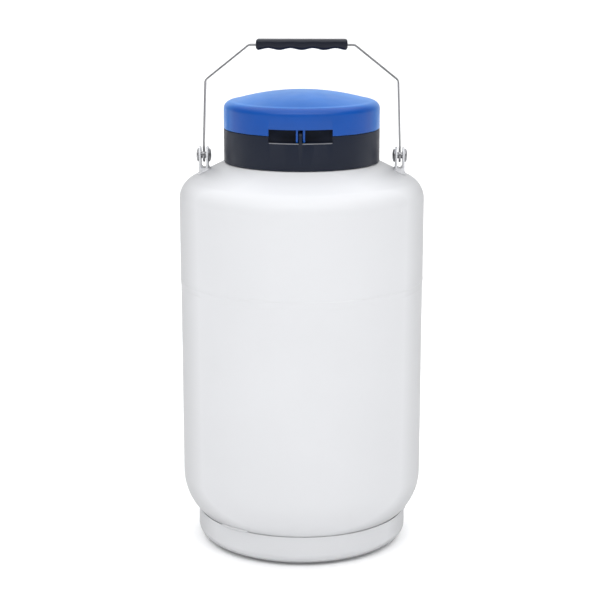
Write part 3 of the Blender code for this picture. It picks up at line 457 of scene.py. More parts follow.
def corner_arc(before, corner, after, radius):
    """The arc that rounds one corner of a path."""
    corner = Vector(corner)
    back = (Vector(before) - corner).normalized()
    ahead = (Vector(after) - corner).normalized()
    half_angle = back.angle(ahead) / 2
    centre = corner + (back + ahead).normalized() * radius / math.sin(half_angle)
    start = corner + back * radius / math.tan(half_angle) - centre
    end = corner + ahead * radius / math.tan(half_angle) - centre
    points = []
    for step in range(ARC_STEPS + 1):
        share = step / ARC_STEPS
        spoke = start * (1 - share) + end * share
        points.append(tuple(centre + spoke.normalized() * radius))
    return points


def rounded(corners, closed=False):
    """A path through (a, b, radius) corners, each rounded by its own radius if that isn't 0."""
    path = []
    for index, (a, b, radius) in enumerate(corners):
        at_end = not closed and index in (0, len(corners) - 1)
        if radius == 0.0 or at_end:
            path.append((a, b))
        else:
            before = corners[index - 1][:2]
            after = corners[(index + 1) % len(corners)][:2]
            path += corner_arc(before, (a, b), after, radius)
    return path


def ribbon(path, thickness):
    """The closed outline of a strip of that thickness along an open path in a plane."""
    points = [Vector(point) for point in path]
    left, right = [], []
    for index, point in enumerate(points):
        before = points[max(index - 1, 0)]
        after = points[min(index + 1, len(points) - 1)]
        along = (after - before).normalized()
        aside = Vector((-along.y, along.x)) * thickness / 2
        left.append(point + aside)
        right.append(point - aside)
    return left + right[::-1]


# ---------------------------------------------------------------- meshes


def new_object(name, bm):
    bmesh.ops.recalc_face_normals(bm, faces=bm.faces)
    mesh = bpy.data.meshes.new(name)
    bm.to_mesh(mesh)
    bm.free()
    obj = bpy.data.objects.new(name, mesh)
    bpy.context.collection.objects.link(obj)
    return obj


def turned(name, outline, sides=FINE_SIDES):
    """A solid turned about Z from (radius, height) points. If they start on the axis, they end on it."""
    bm = bmesh.new()
    corners = [bm.verts.new((point[0], 0.0, point[1])) for point in outline]
    ends_on_axis = outline[0][0] == 0.0
    following = corners[1:] if ends_on_axis else corners[1:] + corners[:1]
    edges = [bm.edges.new(pair) for pair in zip(corners, following)]
    around = {"cent": (0, 0, 0), "axis": (0, 0, 1), "angle": math.tau, "steps": sides, "use_merge": True}
    bmesh.ops.spin(bm, geom=corners + edges, **around)
    bmesh.ops.remove_doubles(bm, verts=bm.verts, dist=MERGE_DISTANCE)
    return new_object(name, bm)


def prism(name, outline, along, low, high):
    """A solid with a flat outline, extruded from low to high along X, Y or Z."""
    place = {
        "X": lambda a, b, depth: (depth, a, b),
        "Y": lambda a, b, depth: (a, depth, b),
        "Z": lambda a, b, depth: (a, b, depth),
    }[along]
    bm = bmesh.new()
    face = bm.faces.new([bm.verts.new(place(point[0], point[1], low)) for point in outline])
    grown = bmesh.ops.extrude_face_region(bm, geom=[face])["geom"]
    moved = [item for item in grown if isinstance(item, bmesh.types.BMVert)]
    bmesh.ops.translate(bm, verts=moved, vec=place(0.0, 0.0, high - low))
    return new_object(name, bm)


def bar(name, centre, radius, along, low, high, sides=SMALL_SIDES):
    return prism(name, circle(centre, radius, sides), along, low, high)


def block(name, low, high):
    outline = [(low[0], low[1]), (high[0], low[1]), (high[0], high[1]), (low[0], high[1])]
    return prism(name, outline, "Z", low[2], high[2])


def skin(name, rings, closed=False):
    """A solid skinned over rings of the same number of points, with flat ends or joined to a loop."""
    bm = bmesh.new()
    rows = [[bm.verts.new(point) for point in ring] for ring in rings]
    following = rows[1:] + rows[:1] if closed else rows[1:]
    for row, after_row in zip(rows, following):
        for index, corner in enumerate(row):
            after = (index + 1) % len(row)
            bm.faces.new((corner, row[after], after_row[after], after_row[index]))
    if not closed:
        bm.faces.new(rows[0])
        bm.faces.new(rows[-1])
    return new_object(name, bm)


def apply_modifiers(obj):
    bpy.context.view_layer.update()
    evaluated = obj.evaluated_get(bpy.context.evaluated_depsgraph_get())
    mesh = bpy.data.meshes.new_from_object(evaluated)
    obj.modifiers.clear()
    obj.data = mesh


def combine(target, operation, *helpers):
    """Boolean each helper into target in turn, and remove it."""
    for helper in helpers:
        modifier = target.modifiers.new("combine", "BOOLEAN")
        modifier.operation = operation
        modifier.object = helper
        modifier.solver = "EXACT"
        apply_modifiers(target)
        bpy.data.objects.remove(helper, do_unlink=True)


def soften(obj, width, angle=40.0):
    """Round every edge sharper than the angle."""
    modifier = obj.modifiers.new("soften", "BEVEL")
    modifier.width = width
    modifier.segments = 2
    modifier.limit_method = "ANGLE"
    modifier.angle_limit = math.radians(angle)
    apply_modifiers(obj)


def turn_to(obj, location, rotation=(0.0, 0.0, 0.0)):
    """Move the mesh itself, so that the object's own coordinates stay the frame's."""
    matrix = Matrix.Translation(location) @ Euler(rotation).to_matrix().to_4x4()
    obj.data.transform(matrix)


def place(obj, body, slot, *nodes, smooth_angle=32.0):
    """Give a piece its material and body, and let it stand for those CAD nodes."""
    obj.data.materials.clear()
    obj.data.materials.append(materials[slot])
    obj.data.shade_smooth()
    obj.data.set_sharp_from_angle(angle=math.radians(smooth_angle))
    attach(obj, body)
    if nodes:
        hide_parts(*nodes)
    return obj


# ---------------------------------------------------------------- outer vessel


def cone_z(radius):
    """Height of the shoulder's cone at a radius."""
    tangent_r = UPPER_R - SHOULDER_RADIUS + SHOULDER_RADIUS * math.sin(SHOULDER_SLOPE)
    tangent_z = SHOULDER_START + SHOULDER_RADIUS * math.cos(SHOULDER_SLOPE)
    return tangent_z + (tangent_r - radius) * math.tan(SHOULDER_SLOPE)


def shoulder_skin(inset):
    """The upper shell's outer surface, or its inner one when inset, from the seam up to the mouth."""
    centre = (UPPER_R - SHOULDER_RADIUS, SHOULDER_START)
    radius = SHOULDER_RADIUS - inset
    drop = inset / math.cos(SHOULDER_SLOPE)
    path = arc(centre, (radius, radius), 0.0, math.pi / 2 - SHOULDER_SLOPE, 20)
    path.append((CONE_END_R, cone_z(CONE_END_R) - drop))
    path.append((LEDGE_R, LEDGE_Z - inset))
    path.append((SHELL_MOUTH_R, LEDGE_Z - inset))
    return path


def make_upper_shell():
    edge = SHELL_EDGE
    inner = UPPER_R - SHELL_WALL
    lip = rounded([
        (inner, SEAM_TOP + 2 * edge, 0.0),
        (inner, SEAM_TOP, edge),
        (UPPER_R, SEAM_TOP, edge),
        (UPPER_R, SEAM_TOP + 2 * edge, 0.0),
    ])
    outline = lip + shoulder_skin(0.0) + shoulder_skin(SHELL_WALL)[::-1]
    place(turned("shell_upper", outline), "vessel", "white_paint", "outer_shell_upper")


def bottom_skin(inset):
    """The lower shell's outer surface, or its inner one when inset, from near the seam to the axis."""
    knuckle_centre_r = LOWER_R - KNUCKLE_RADIUS
    knuckle_radius = KNUCKLE_RADIUS - inset
    crown_radius = KNUCKLE_RADIUS + knuckle_centre_r / math.cos(KNUCKLE_SWEEP) - inset
    crown_centre_z = KNUCKLE_Z + knuckle_centre_r * math.tan(KNUCKLE_SWEEP)
    path = arc((knuckle_centre_r, KNUCKLE_Z), (knuckle_radius, knuckle_radius), 0.0, -KNUCKLE_SWEEP, 30)
    crown = arc((0.0, crown_centre_z), (crown_radius, crown_radius), -KNUCKLE_SWEEP, -math.pi / 2, 10)
    return path + crown[1:-1] + [(0.0, crown_centre_z - crown_radius)]


def make_lower_shell():
    edge = SHELL_EDGE
    inner = LOWER_R - SHELL_WALL
    lip = rounded([
        (inner, SEAM_BOTTOM - 2 * edge, 0.0),
        (inner, SEAM_BOTTOM, edge),
        (LOWER_R, SEAM_BOTTOM, edge),
        (LOWER_R, SEAM_BOTTOM - 2 * edge, 0.0),
    ])
    outline = bottom_skin(SHELL_WALL)[::-1] + lip + bottom_skin(0.0)
    place(turned("shell_lower", outline), "vessel", "white_paint", "outer_shell_lower")


def make_girth_weld():
    """The painted-over weld between the shells: a band slightly proud of both, sharper along its top."""
    proud = UPPER_R + SEAM_PROUD
    root = LOWER_R - SHELL_WALL / 2
    lap = 1.0 * MM
    corners = [
        (root, SEAM_BOTTOM - lap, 0.0),
        (LOWER_R - 0.1 * MM, SEAM_BOTTOM - lap, 0.0),
        (LOWER_R + 0.2 * MM, SEAM_BOTTOM + lap, 2.0 * MM),
        (proud, SEAM_TOP - lap / 2, 0.25 * MM),
        (UPPER_R - 0.1 * MM, SEAM_TOP + lap / 4, 0.0),
        (root, SEAM_TOP + lap / 4, 0.0),
    ]
    place(turned("seam_band", rounded(corners, closed=True)), "vessel", "white_paint", "girth_weld")


def knuckle_z(radius, clearance=0.0):
    """Height of the lower shell's knuckle at a radius, lowered by a clearance."""
    reach = KNUCKLE_RADIUS + clearance
    return KNUCKLE_Z - math.sqrt(reach**2 - (radius - LOWER_R + KNUCKLE_RADIUS) ** 2)


def make_foot_pan():
    corner = (FOOT_R - FOOT_CORNER_R, FOOT_CORNER_H)
    rim_inner = FOOT_R - FOOT_WALL
    rim_z = knuckle_z(rim_inner, FOOT_RIM_GAP)
    rim_edge = 0.5 * MM
    rim = rounded([
        (rim_inner, rim_z - 2 * MM, 0.0),
        (rim_inner, rim_z, rim_edge),
        (FOOT_R, knuckle_z(FOOT_R, FOOT_RIM_GAP), rim_edge),
        (FOOT_R, rim_z - 2 * MM, 0.0),
    ])
    outer = arc(corner, (FOOT_CORNER_R, FOOT_CORNER_H), 0.0, -math.pi / 2, 24)
    inner_radii = (FOOT_CORNER_R - FOOT_WALL, FOOT_CORNER_H - FOOT_WALL)
    inner = arc(corner, inner_radii, -math.pi / 2, 0.0, 24)
    floor = [(FOOT_HOLE_R, 0.0), (FOOT_HOLE_R, FOOT_WALL)]
    place(turned("foot", rim + outer + floor + inner), "vessel", "white_paint", "foot_pan")


def make_foot_welds():
    """Short rippled beads in the corner between the foot's rim and the knuckle."""
    steps = 60
    middle_r = FOOT_R + FOOT_WELD_OUT
    middle_z = knuckle_z(FOOT_R, FOOT_RIM_GAP) + FOOT_WELD_UP
    for number in range(FOOT_WELD_COUNT):
        centre = FOOT_WELD_FIRST + math.tau * number / FOOT_WELD_COUNT
        rings = []
        for step in range(steps + 1):
            share = step / steps
            angle = centre + FOOT_WELD_LENGTH * (share - 0.5)
            swell = 1.0 + FOOT_WELD_RIPPLE * math.sin(math.tau * FOOT_WELD_RIPPLES * share)
            taper = max(math.sin(math.pi * share), 0.0) ** FOOT_WELD_BLUNTNESS
            radius = FOOT_WELD_R * swell * (FOOT_WELD_END + (1.0 - FOOT_WELD_END) * taper)
            section = circle((middle_r, middle_z), radius, 16)
            rings.append([(r * math.cos(angle), r * math.sin(angle), z) for r, z in section])
        bead = skin(f"foot_bead_{number + 1}", rings)
        place(bead, "vessel", "white_paint", f"foot_weld_{number + 1}", smooth_angle=BEAD_SMOOTH_ANGLE)


# ---------------------------------------------------------------- collar


def recess_block():
    """The solid that the padlock recess is cut into, with a curved front inside the spigot."""
    reach = SPIGOT_OUTER_R - GAP
    half = RECESS_HALF_WIDTH + RECESS_WALL
    spread = math.asin(half / reach)
    front = arc((0.0, 0.0), (reach, reach), -math.pi / 2 - spread, -math.pi / 2 + spread, 24)
    back = RECESS_BACK + RECESS_WALL
    outline = front + [(half, back), (-half, back)]
    return prism("recess_block", outline, "Z", RECESS_FLOOR - 2 * RECESS_WALL, RECESS_BACK_TOP)


def recess_chamfer():
    """Cutter for the chamfer along the front edge of the recess's floor."""
    over = 0.5 * MM
    outline = [
        (COLLAR_R - RECESS_CHAMFER - over, RECESS_FLOOR + over),
        (COLLAR_R + over, RECESS_FLOOR - RECESS_CHAMFER - over),
        (COLLAR_R + 2 * RECESS_CHAMFER, RECESS_FLOOR + 2 * RECESS_CHAMFER),
    ]
    cutter = turned("recess_chamfer", outline)
    low = (-RECESS_HALF_WIDTH, -COLLAR_R - CUT_OVER, RECESS_FLOOR - CUT_OVER)
    high = (RECESS_HALF_WIDTH, 0.0, RECESS_FLOOR + CUT_OVER)
    combine(cutter, "INTERSECT", block("chamfer_span", low, high))
    return cutter


def make_recess_highlight_strip(side_name, side):
    """The painted highlight along the edge of the recess's floor on one side of the hasp: a thin strip on
    the chamfer.

    It is a pale copy of the collar's plastic, standing for the light that the edge catches.
    """
    thickness = 0.25 * MM
    inner = (COLLAR_R - RECESS_CHAMFER + thickness, RECESS_FLOOR)
    outer = (COLLAR_R, RECESS_FLOOR - RECESS_CHAMFER + thickness)
    outline = [
        inner,
        outer,
        (outer[0] - thickness, outer[1] - thickness),
        (inner[0] - thickness, inner[1] - thickness),
    ]
    lip = turned(f"recess_highlight_strip_{side_name}", outline)
    near, far = sorted((side * (HASP_THICKNESS / 2 + GAP), side * (RECESS_HALF_WIDTH - GAP)))
    low = (near, -COLLAR_R - CUT_OVER, RECESS_FLOOR - CUT_OVER)
    high = (far, 0.0, RECESS_FLOOR + CUT_OVER)
    combine(lip, "INTERSECT", block("highlight_strip_span", low, high))
    place(lip, "vessel", "black_plastic")
    # painted highlight: the pale plastic stands for light caught by the edge
    lip.data.materials[0] = materials["painted_highlight_plastic"]


def make_hasp():
    """The collar's upright tongue for a padlock, with a rounded head and a lip round its hole."""
    head_r = 5.0 * MM
    head = arc((HASP_FRONT + head_r, HASP_TOP - head_r), (head_r, head_r), math.pi, math.pi / 2, 10)
    back = RECESS_BACK + RECESS_WALL / 2
    outline = [(back, HASP_LOW), (HASP_FRONT, HASP_LOW), *head, (back, HASP_TOP)]
    half = HASP_THICKNESS / 2
    return prism("hasp", outline, "X", -half, half)


def padlock_hole():
    reach = 2 * CUT_OVER
    return bar("padlock_hole", (HASP_HOLE_Y, HASP_HOLE_Z), HASP_HOLE_R, "X", -reach, reach)


def lug(name, low, high, toe_z, heel_z):
    """A hinge knuckle with a web to the wall: its outline runs from toe_z to heel_z on the wall."""
    wall_y = COLLAR_R - LUG_ROOT_DEPTH
    up = math.copysign(1.0, toe_z - heel_z)
    sweep = arc((HINGE_Y, HINGE_Z), (KNUCKLE_R, KNUCKLE_R), -up * math.pi, up * LUG_SWEEP, 28)
    return prism(name, [(wall_y, heel_z), *sweep, (wall_y, toe_z)], "X", low, high)


def make_collar():
    inner = COLLAR_R - COLLAR_WALL
    floor_top = COLLAR_FLOOR + COLLAR_FLOOR_THICKNESS
    edge = 0.6 * MM
    corners = [
        (COLLAR_R, COLLAR_BOTTOM, edge),
        (COLLAR_R, COLLAR_TOP, edge),
        (SPIGOT_OUTER_R, COLLAR_TOP, 0.0),
        (SPIGOT_OUTER_R, SPIGOT_TOP, edge),
        (SPIGOT_INNER_R, SPIGOT_TOP, edge),
        (SPIGOT_INNER_R, SPIGOT_LOW, 0.0),
        (inner, SPIGOT_LOW - 2 * MM, 0.0),
        (inner, floor_top, 1.5 * MM),
        (COLLAR_MOUTH_R, floor_top, edge),
        (COLLAR_MOUTH_R, COLLAR_FLOOR, 0.0),
        (inner, COLLAR_FLOOR, 0.0),
        (inner, cone_z(inner) + MM, 0.0),
    ]
    collar = turned("collar_ring", rounded(corners, closed=True))
    combine(collar, "UNION", recess_block())
    low = (-RECESS_HALF_WIDTH, -COLLAR_R - CUT_OVER, RECESS_FLOOR)
    high = (RECESS_HALF_WIDTH, RECESS_BACK, SPIGOT_TOP + CUT_OVER)
    combine(collar, "DIFFERENCE", block("recess_space", low, high), recess_chamfer())
    combine(collar, "UNION", make_hasp())
    for side in (-1, 1):
        ends = sorted((side * LUG_INNER, side * LUG_OUTER))
        combine(collar, "UNION", lug("collar_lug", *ends, COLLAR_TOP - COLLAR_LUG_TOE, COLLAR_TOP - MM))
    reach = LUG_OUTER + MM
    bore = bar("lug_bore", (HINGE_Y, HINGE_Z), HINGE_BORE_R, "X", -reach, reach)
    combine(collar, "DIFFERENCE", padlock_hole(), bore)
    soften(collar, 0.35 * MM)
    place(collar, "vessel", "black_plastic", "collar")


# ---------------------------------------------------------------- lid


def dome_z(radius):
    """Height of the lid's dome at a radius."""
    edge = LID_R - LID_CORNER_R
    return LID_APEX - (LID_APEX - LID_DOME_LOW) * (radius / edge) ** 2


def lid_skin(inset):
    """The lid's outer surface, or its inner one when inset, from the axis down to the side."""
    edge = LID_R - LID_CORNER_R
    steps = 24
    dome = [(edge * step / steps, dome_z(edge * step / steps) - inset) for step in range(steps)]
    radii = (LID_CORNER_R - inset, LID_DOME_LOW - LID_SIDE_TOP - inset)
    return dome + arc((edge, LID_SIDE_TOP), radii, math.pi / 2, 0.0, 14)


def make_fin(side):
    corner_r = 3.0 * MM
    corner = (FIN_FRONT + corner_r, FIN_LOW + corner_r)
    low_front = arc(corner, (corner_r, corner_r), -math.pi / 2, -math.pi, 8)
    top = LID_NOTCH_TOP + 6 * MM
    outline = [(FIN_BACK, FIN_LOW), *low_front, (FIN_FRONT, top), (FIN_BACK, top)]
    middle = side * FIN_OFFSET
    return prism("lid_fin", outline, "X", middle - FIN_THICKNESS / 2, middle + FIN_THICKNESS / 2)


def make_lid():
    edge = 0.7 * MM
    inner = LID_R - LID_WALL
    rim = rounded([
        (LID_R, LID_BOTTOM + 3 * edge, 0.0),
        (LID_R, LID_BOTTOM, edge),
        (inner, LID_BOTTOM, edge),
        (inner, LID_BOTTOM + 3 * edge, 0.0),
    ])
    lid = turned("lid_shell", lid_skin(0.0) + rim + lid_skin(LID_WALL)[::-1])
    low = (-RECESS_HALF_WIDTH, -LID_R - CUT_OVER, LID_BOTTOM - CUT_OVER)
    high = (RECESS_HALF_WIDTH, RECESS_BACK + CUT_OVER, LID_NOTCH_TOP)
    combine(lid, "DIFFERENCE", block("lid_notch", low, high))
    combine(lid, "UNION", make_fin(-1), make_fin(1))
    half = LID_KNUCKLE_HALF
    combine(lid, "UNION", lug("lid_knuckle", -half, half, LID_BOTTOM + LID_KNUCKLE_TOE, LID_BOTTOM + MM))
    bore = bar("knuckle_bore", (HINGE_Y, HINGE_Z), HINGE_BORE_R, "X", -half - MM, half + MM)
    combine(lid, "DIFFERENCE", padlock_hole(), bore)
    soften(lid, 0.3 * MM)
    place(lid, "lid", "blue_plastic", "lid")


def make_lid_liner():
    steps = 12
    radii = [LINER_R * step / steps for step in range(steps)]
    top = [(radius, dome_z(radius) - LID_WALL - GAP) for radius in radii]
    edge_z = dome_z(LINER_R) - LID_WALL - GAP
    side = rounded([
        top[-1] + (0.0,),
        (LINER_R, edge_z, MM),
        (LINER_R, LINER_LOW, 1.5 * MM),
        (0.0, LINER_LOW, 0.0),
    ])
    place(turned("liner", top[:-1] + side), "lid", "foam", "lid_liner")


def make_hinge_pin():
    head_r = 3.2 * MM
    reach = LUG_OUTER + GAP
    head = 1.5 * MM
    corners = [
        (0.0, -reach, 0.0),
        (HINGE_PIN_R, -reach, 0.3 * MM),
        (HINGE_PIN_R, reach, 0.0),
        (head_r, reach, 0.2 * MM),
        (head_r, reach + head, 0.6 * MM),
        (0.0, reach + head, 0.0),
    ]
    pin = turned("lid_pin", rounded(corners), SMALL_SIDES)
    turn_to(pin, (0.0, HINGE_Y, HINGE_Z), (0.0, math.pi / 2, 0.0))
    place(pin, "vessel", "steel", "hinge_pin")


# ---------------------------------------------------------------- clevises and pivots


def make_clevis(side_name, side):
    """A strap bent to a U, with its ears across X, standing on the shoulder's cone."""
    middle = side * PIVOT_X
    inner = CLEVIS_GAP / 2
    outer = inner + CLEVIS_EAR
    top = PIVOT_Z + CLEVIS_HALF_WIDTH
    trough = arc((middle, CLEVIS_INNER_BOTTOM + inner), (inner, inner), 0.0, -math.pi, 16)
    near = (middle - outer, cone_z(abs(middle - outer)) + CLEVIS_BASE_GAP)
    far = (middle + outer, cone_z(abs(middle + outer)) + CLEVIS_BASE_GAP)
    right_ear = [near, far, (far[0], top), (middle + inner, top)]
    left_ear = [(middle - inner, top), (near[0], top)]
    half = CLEVIS_HALF_WIDTH
    clevis = prism(f"clevis_strap_{side_name}", right_ear + trough + left_ear, "Y", -half, half)
    head = arc((0.0, PIVOT_Z), (half, half), 0.0, math.pi, 36)
    base_z = PIVOT_Z - 40 * MM
    reach = 15 * MM
    ends = (middle - reach, middle + reach)
    silhouette = [(half, base_z), *head, (-half, base_z)]
    combine(clevis, "INTERSECT", prism("ear_head", silhouette, "X", *ends))
    combine(clevis, "DIFFERENCE", bar("ear_hole", (0.0, PIVOT_Z), PIVOT_HOLE_R, "X", *ends))
    soften(clevis, 0.5 * MM)
    place(clevis, "vessel", "white_paint", f"clevis_{side_name}")


def make_clevis_bead(side_name, side):
    """The weld bead that runs round the clevis's base on the shoulder."""
    middle = side * PIVOT_X
    half_x = CLEVIS_GAP / 2 + CLEVIS_EAR
    half_y = CLEVIS_HALF_WIDTH
    bend = 2.0 * MM
    corners = [
        (middle - half_x, -half_y, bend),
        (middle + half_x, -half_y, bend),
        (middle + half_x, half_y, bend),
        (middle - half_x, half_y, bend),
    ]
    sparse = [Vector(point) for point in rounded(corners, closed=True)]
    path = []
    for start, end in zip(sparse, sparse[1:] + sparse[:1]):
        count = max(int((end - start).length / CLEVIS_BEAD_STEP), 1)
        path += [start.lerp(end, step / count) for step in range(count)]
    rings = []
    for index, point in enumerate(path):
        along = (path[(index + 1) % len(path)] - path[index - 1]).normalized()
        aside = Vector((along.y, -along.x))
        radius = CLEVIS_BEAD_R * (1.0 + CLEVIS_BEAD_RIPPLE * math.sin(index * CLEVIS_BEAD_RIPPLE_TURN))
        ring = []
        for across, up in circle((0.0, 0.0), radius, 12):
            spot = point + aside * across
            ring.append((spot.x, spot.y, cone_z(point.length) + CLEVIS_BEAD_UP + up))
        rings.append(ring)
    bead = skin(f"clevis_bead_{side_name}", rings, closed=True)
    place(bead, "vessel", "white_paint", smooth_angle=BEAD_SMOOTH_ANGLE)


def domed_head(base, height):
    """Outline of a domed head standing on base, from its rim to the axis."""
    rim = height * PIVOT_HEAD_RIM
    start = rounded([
        (PIVOT_SHANK_R, base, 0.0),
        (PIVOT_HEAD_R, base, 0.4 * MM),
        (PIVOT_HEAD_R, base + rim, 0.0),
    ])
    dome = arc((0.0, base + rim), (PIVOT_HEAD_R, height - rim), 0.0, math.pi / 2, 14)
    return start + dome[1:-1] + [(0.0, base + height)]


def hex_socket(low, high):
    """Cutter for the socket of a hexagon key."""
    return bar("hex_socket", (0.0, 0.0), HEX_KEY_R, "Z", low, high, 6)


def make_pivot(side_name, side):
    """The bolt, with a socket in its outer head, and the domed nut on the clevis's inner side."""
    face = CLEVIS_GAP / 2 + CLEVIS_EAR + GAP
    tip = face + PIVOT_TIP
    shank = rounded([(0.0, -tip, 0.0), (PIVOT_SHANK_R, -tip, 0.4 * MM), (PIVOT_SHANK_R, face, 0.0)])
    bolt = turned(f"bolt_{side_name}", shank + domed_head(face, PIVOT_HEAD)[1:], SMALL_SIDES)
    combine(bolt, "DIFFERENCE", hex_socket(face + HEX_KEY_FLOOR, face + 2 * PIVOT_HEAD))
    bore = PIVOT_SHANK_R + GAP
    nut_outline = [(0.0, tip + GAP), (bore, tip + GAP), (bore, face)] + domed_head(face, PIVOT_HEAD)[1:]
    nut = turned(f"nut_{side_name}", nut_outline, SMALL_SIDES)
    centre = (side * PIVOT_X, 0.0, PIVOT_Z)
    turn_to(bolt, centre, (0.0, side * math.pi / 2, 0.0))
    turn_to(nut, centre, (0.0, -side * math.pi / 2, 0.0))
    place(bolt, "vessel", "steel", f"pivot_bolt_{side_name}")
    place(nut, "vessel", "steel", f"pivot_nut_{side_name}")


# ---------------------------------------------------------------- bail


def make_strap():
    right = [
        (STRAP_EYE_X, PIVOT_Z, 0.0),
        (STRAP_EYE_X, STRAP_LEG_STRAIGHT, STRAP_LEG_BEND_R),
        (STRAP_CORNER_X, STRAP_CORNER_Z, STRAP_BEND_R),
        (STRAP_TOP_X, STRAP_TOP_Z, STRAP_BEND_R),
    ]
    left = [(-x, z, radius) for x, z, radius in right[::-1]]
    half = STRAP_HALF_WIDTH
    strap = prism("strap", ribbon(rounded(right + left), STRAP_THICKNESS), "Y", -half, half)
    for side in (-1, 1):
        middle = side * STRAP_EYE_X
        eye_ends = (middle - STRAP_EYE_THICKNESS / 2, middle + STRAP_EYE_THICKNESS / 2)
        combine(strap, "UNION", bar("eye", (0.0, PIVOT_Z), STRAP_EYE_R, "X", *eye_ends))
        hole_ends = (middle - CUT_OVER, middle + CUT_OVER)
        combine(strap, "DIFFERENCE", bar("eye_hole", (0.0, PIVOT_Z), PIVOT_HOLE_R, "X", *hole_ends))
    soften(strap, 0.35 * MM, 50.0)
    place(strap, "bail", "steel", "bail_strap")


def grip_ring(x, inset, sides=40):
    """A section of the grip: nearly a rectangle, with its underside raised under each finger."""
    low = grip_low.z + GRIP_FINGER_DEPTH * math.sin(math.pi * x / GRIP_FINGER_PITCH) ** 2 + inset
    high = grip_high.z - inset
    half_width = GRIP_HALF_WIDTH - inset
    middle = (low + high) / 2
    half_height = (high - low) / 2
    ring = []
    for step in range(sides):
        angle = math.tau * (step + 0.5) / sides
        across, up = math.cos(angle), math.sin(angle)
        y = half_width * math.copysign(abs(across) ** GRIP_SQUARENESS, across)
        z = middle + half_height * math.copysign(abs(up) ** GRIP_SQUARENESS, up)
        ring.append((x, y, z))
    return ring


def make_grip():
    straight = grip_high.x - GRIP_END_R
    end_steps = 8
    ends = []
    for step in range(end_steps):
        angle = math.pi / 2 * step / end_steps
        ends.append((straight + GRIP_END_R * math.cos(angle), GRIP_END_R * (1 - math.sin(angle))))
    stations = 96
    rings = [grip_ring(-x, inset) for x, inset in ends]
    rings += [grip_ring(straight * (2 * step / stations - 1), 0.0) for step in range(stations + 1)]
    rings += [grip_ring(x, inset) for x, inset in ends[::-1]]
    grip = skin("grip_moulding", rings)
    reach = grip_high.x + CUT_OVER
    half_width = STRAP_HALF_WIDTH + GAP
    half_height = STRAP_THICKNESS / 2 + GAP
    low = (-reach, -half_width, STRAP_TOP_Z - half_height)
    high = (reach, half_width, STRAP_TOP_Z + half_height)
    combine(grip, "DIFFERENCE", block("grip_slot", low, high))
    place(grip, "bail", "grip_rubber", "grip")


# ---------------------------------------------------------------- what an open lid shows


def make_plug_cap():
    """The plug's cap with a softened edge, and its knob."""
    cap = frame["nodes"]["plug_cap"].copy()
    cap.data = cap.data.copy()
    cap.name = "cap"
    bpy.context.collection.objects.link(cap)
    soften(cap, 0.5 * MM)
    place(cap, "plug", "white_plastic", "plug_cap")
    base, top = knob_low.z, knob_high.z
    height = top - base
    outer = knob_high.x
    face = outer * 0.8
    waist = outer * 0.53
    edge = 1.5 * MM
    corners = [
        (0.0, base, 0.0),
        (face, base, 0.5 * MM),
        (waist, base + height * 0.35, 5 * MM),
        (outer, base + height * 0.65, edge),
        (outer, base + height * 0.85, edge),
        (face, top, edge),
        (0.0, top, 0.0),
    ]
    place(turned("knob", rounded(corners), 72), "plug", "white_plastic", "plug_knob")


def dress_frame():
    """Give every CAD node the procedural material of its slot."""
    for entry in frame["record"]["subparts"]:
        node = frame["nodes"][entry["node"]]
        node.data.materials.clear()
        node.data.materials.append(materials[entry["material_slot"]])


# ---------------------------------------------------------------- stage


def make_floor():
    half = FLOOR_HALF
    corners = ((-half, -half, 0.0), (half, -half, 0.0), (half, half, 0.0), (-half, half, 0.0))
    bm = bmesh.new()
    bm.faces.new([bm.verts.new(corner) for corner in corners])
    floor = new_object("floor", bm)
    made, tree, shader, coords = surface("floor_paper", FLOOR_COLOUR, 0.9)
    vary_roughness(tree, shader, noise(tree, coords, 4.0), 0.85, 0.95)
    shader.inputs["Specular IOR Level"].default_value = 0.0
    shader.inputs["Emission Color"].default_value = (*SKY, 1.0)
    shader.inputs["Emission Strength"].default_value = FLOOR_GLOW
    floor.data.materials.append(made)


def make_softbox():
    """One wide, low area light in front and above."""
    width, height = SOFTBOX_SIZE
    data = bpy.data.lights.new("front_softbox", "AREA")
    data.shape = "RECTANGLE"
    data.size = width
    data.size_y = height
    data.energy = SOFTBOX_RADIANCE * math.pi * width * height
    light = bpy.data.objects.new("front_softbox", data)
    light.location = SOFTBOX_PLACE
    facing = Vector(SOFTBOX_TARGET) - Vector(SOFTBOX_PLACE)
    light.rotation_euler = facing.to_track_quat("-Z", "Y").to_euler()
    bpy.context.collection.objects.link(light)


def ramp(tree, value, low, high, least, most):
    """Rises smoothly from least to most while the value goes from low to high."""
    span = {"From Min": low, "From Max": high, "To Min": least, "To Max": most}
    node = new_node(tree, "ShaderNodeMapRange", interpolation_type="SMOOTHSTEP", **span)
    tree.links.new(value, node.inputs["Value"])
    return node.outputs["Result"]


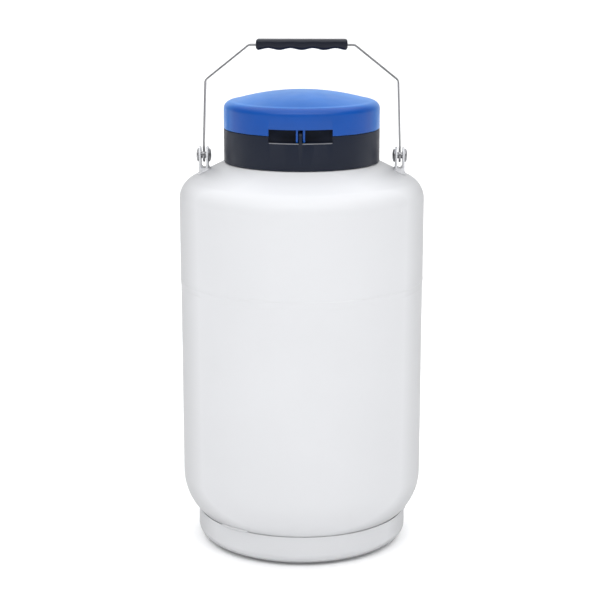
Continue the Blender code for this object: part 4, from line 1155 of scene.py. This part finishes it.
def added(tree, first, second):
    node = new_node(tree, "ShaderNodeMath", operation="ADD")
    tree.links.new(first, node.inputs[0])
    tree.links.new(second, node.inputs[1])
    return node.outputs["Value"]


def make_room():
    """A ceiling light with a soft edge, a lit wall behind, a little light from the front, and dim sides."""
    world = bpy.data.worlds.new("studio")
    world.use_nodes = True
    tree = world.node_tree
    coords = new_node(tree, "ShaderNodeTexCoord")
    direction = new_node(tree, "ShaderNodeSeparateXYZ")
    tree.links.new(coords.outputs["Generated"], direction.inputs["Vector"])
    backward, up = direction.outputs["Y"], direction.outputs["Z"]
    brightest = SKY_ALL_ROUND + SKY_OVERHEAD
    ceiling = ramp(tree, up, CEILING_STARTS, CEILING_FULL, SKY_ALL_ROUND, brightest)
    front = ramp(tree, backward, -WALL_STARTS, -WALL_FULL, 0.0, SKY_FRONT)
    behind = ramp(tree, backward, WALL_STARTS, WALL_FULL, 0.0, SKY_BEHIND)
    sky = tree.nodes["Background"]
    sky.inputs["Color"].default_value = (*SKY, 1.0)
    tree.links.new(added(tree, ceiling, added(tree, front, behind)), sky.inputs["Strength"])
    bpy.context.scene.world = world


def make_camera():
    data = bpy.data.cameras.new("camera")
    data.lens = CAMERA_LENS
    camera = bpy.data.objects.new("camera", data)
    turn = Matrix.Rotation(CAMERA_AZIMUTH, 3, "Z")
    camera.location = turn @ Vector((CAMERA_SIDESTEP, -CAMERA_DISTANCE, CAMERA_HEIGHT))
    camera.rotation_euler = (math.pi / 2 - CAMERA_PITCH, 0.0, CAMERA_AZIMUTH)
    bpy.context.collection.objects.link(camera)
    bpy.context.scene.camera = camera
    bpy.context.scene.view_settings.view_transform = "Standard"


def main():
    dress_frame()
    make_upper_shell()
    make_lower_shell()
    make_girth_weld()
    make_foot_pan()
    make_foot_welds()
    make_collar()
    make_lid()
    make_lid_liner()
    make_hinge_pin()
    for side_name, side in (("left", -1), ("right", 1)):
        make_recess_highlight_strip(side_name, side)
        make_clevis(side_name, side)
        make_clevis_bead(side_name, side)
        make_pivot(side_name, side)
    make_strap()
    make_grip()
    make_plug_cap()
    make_floor()
    make_room()
    make_softbox()
    make_camera()


main()
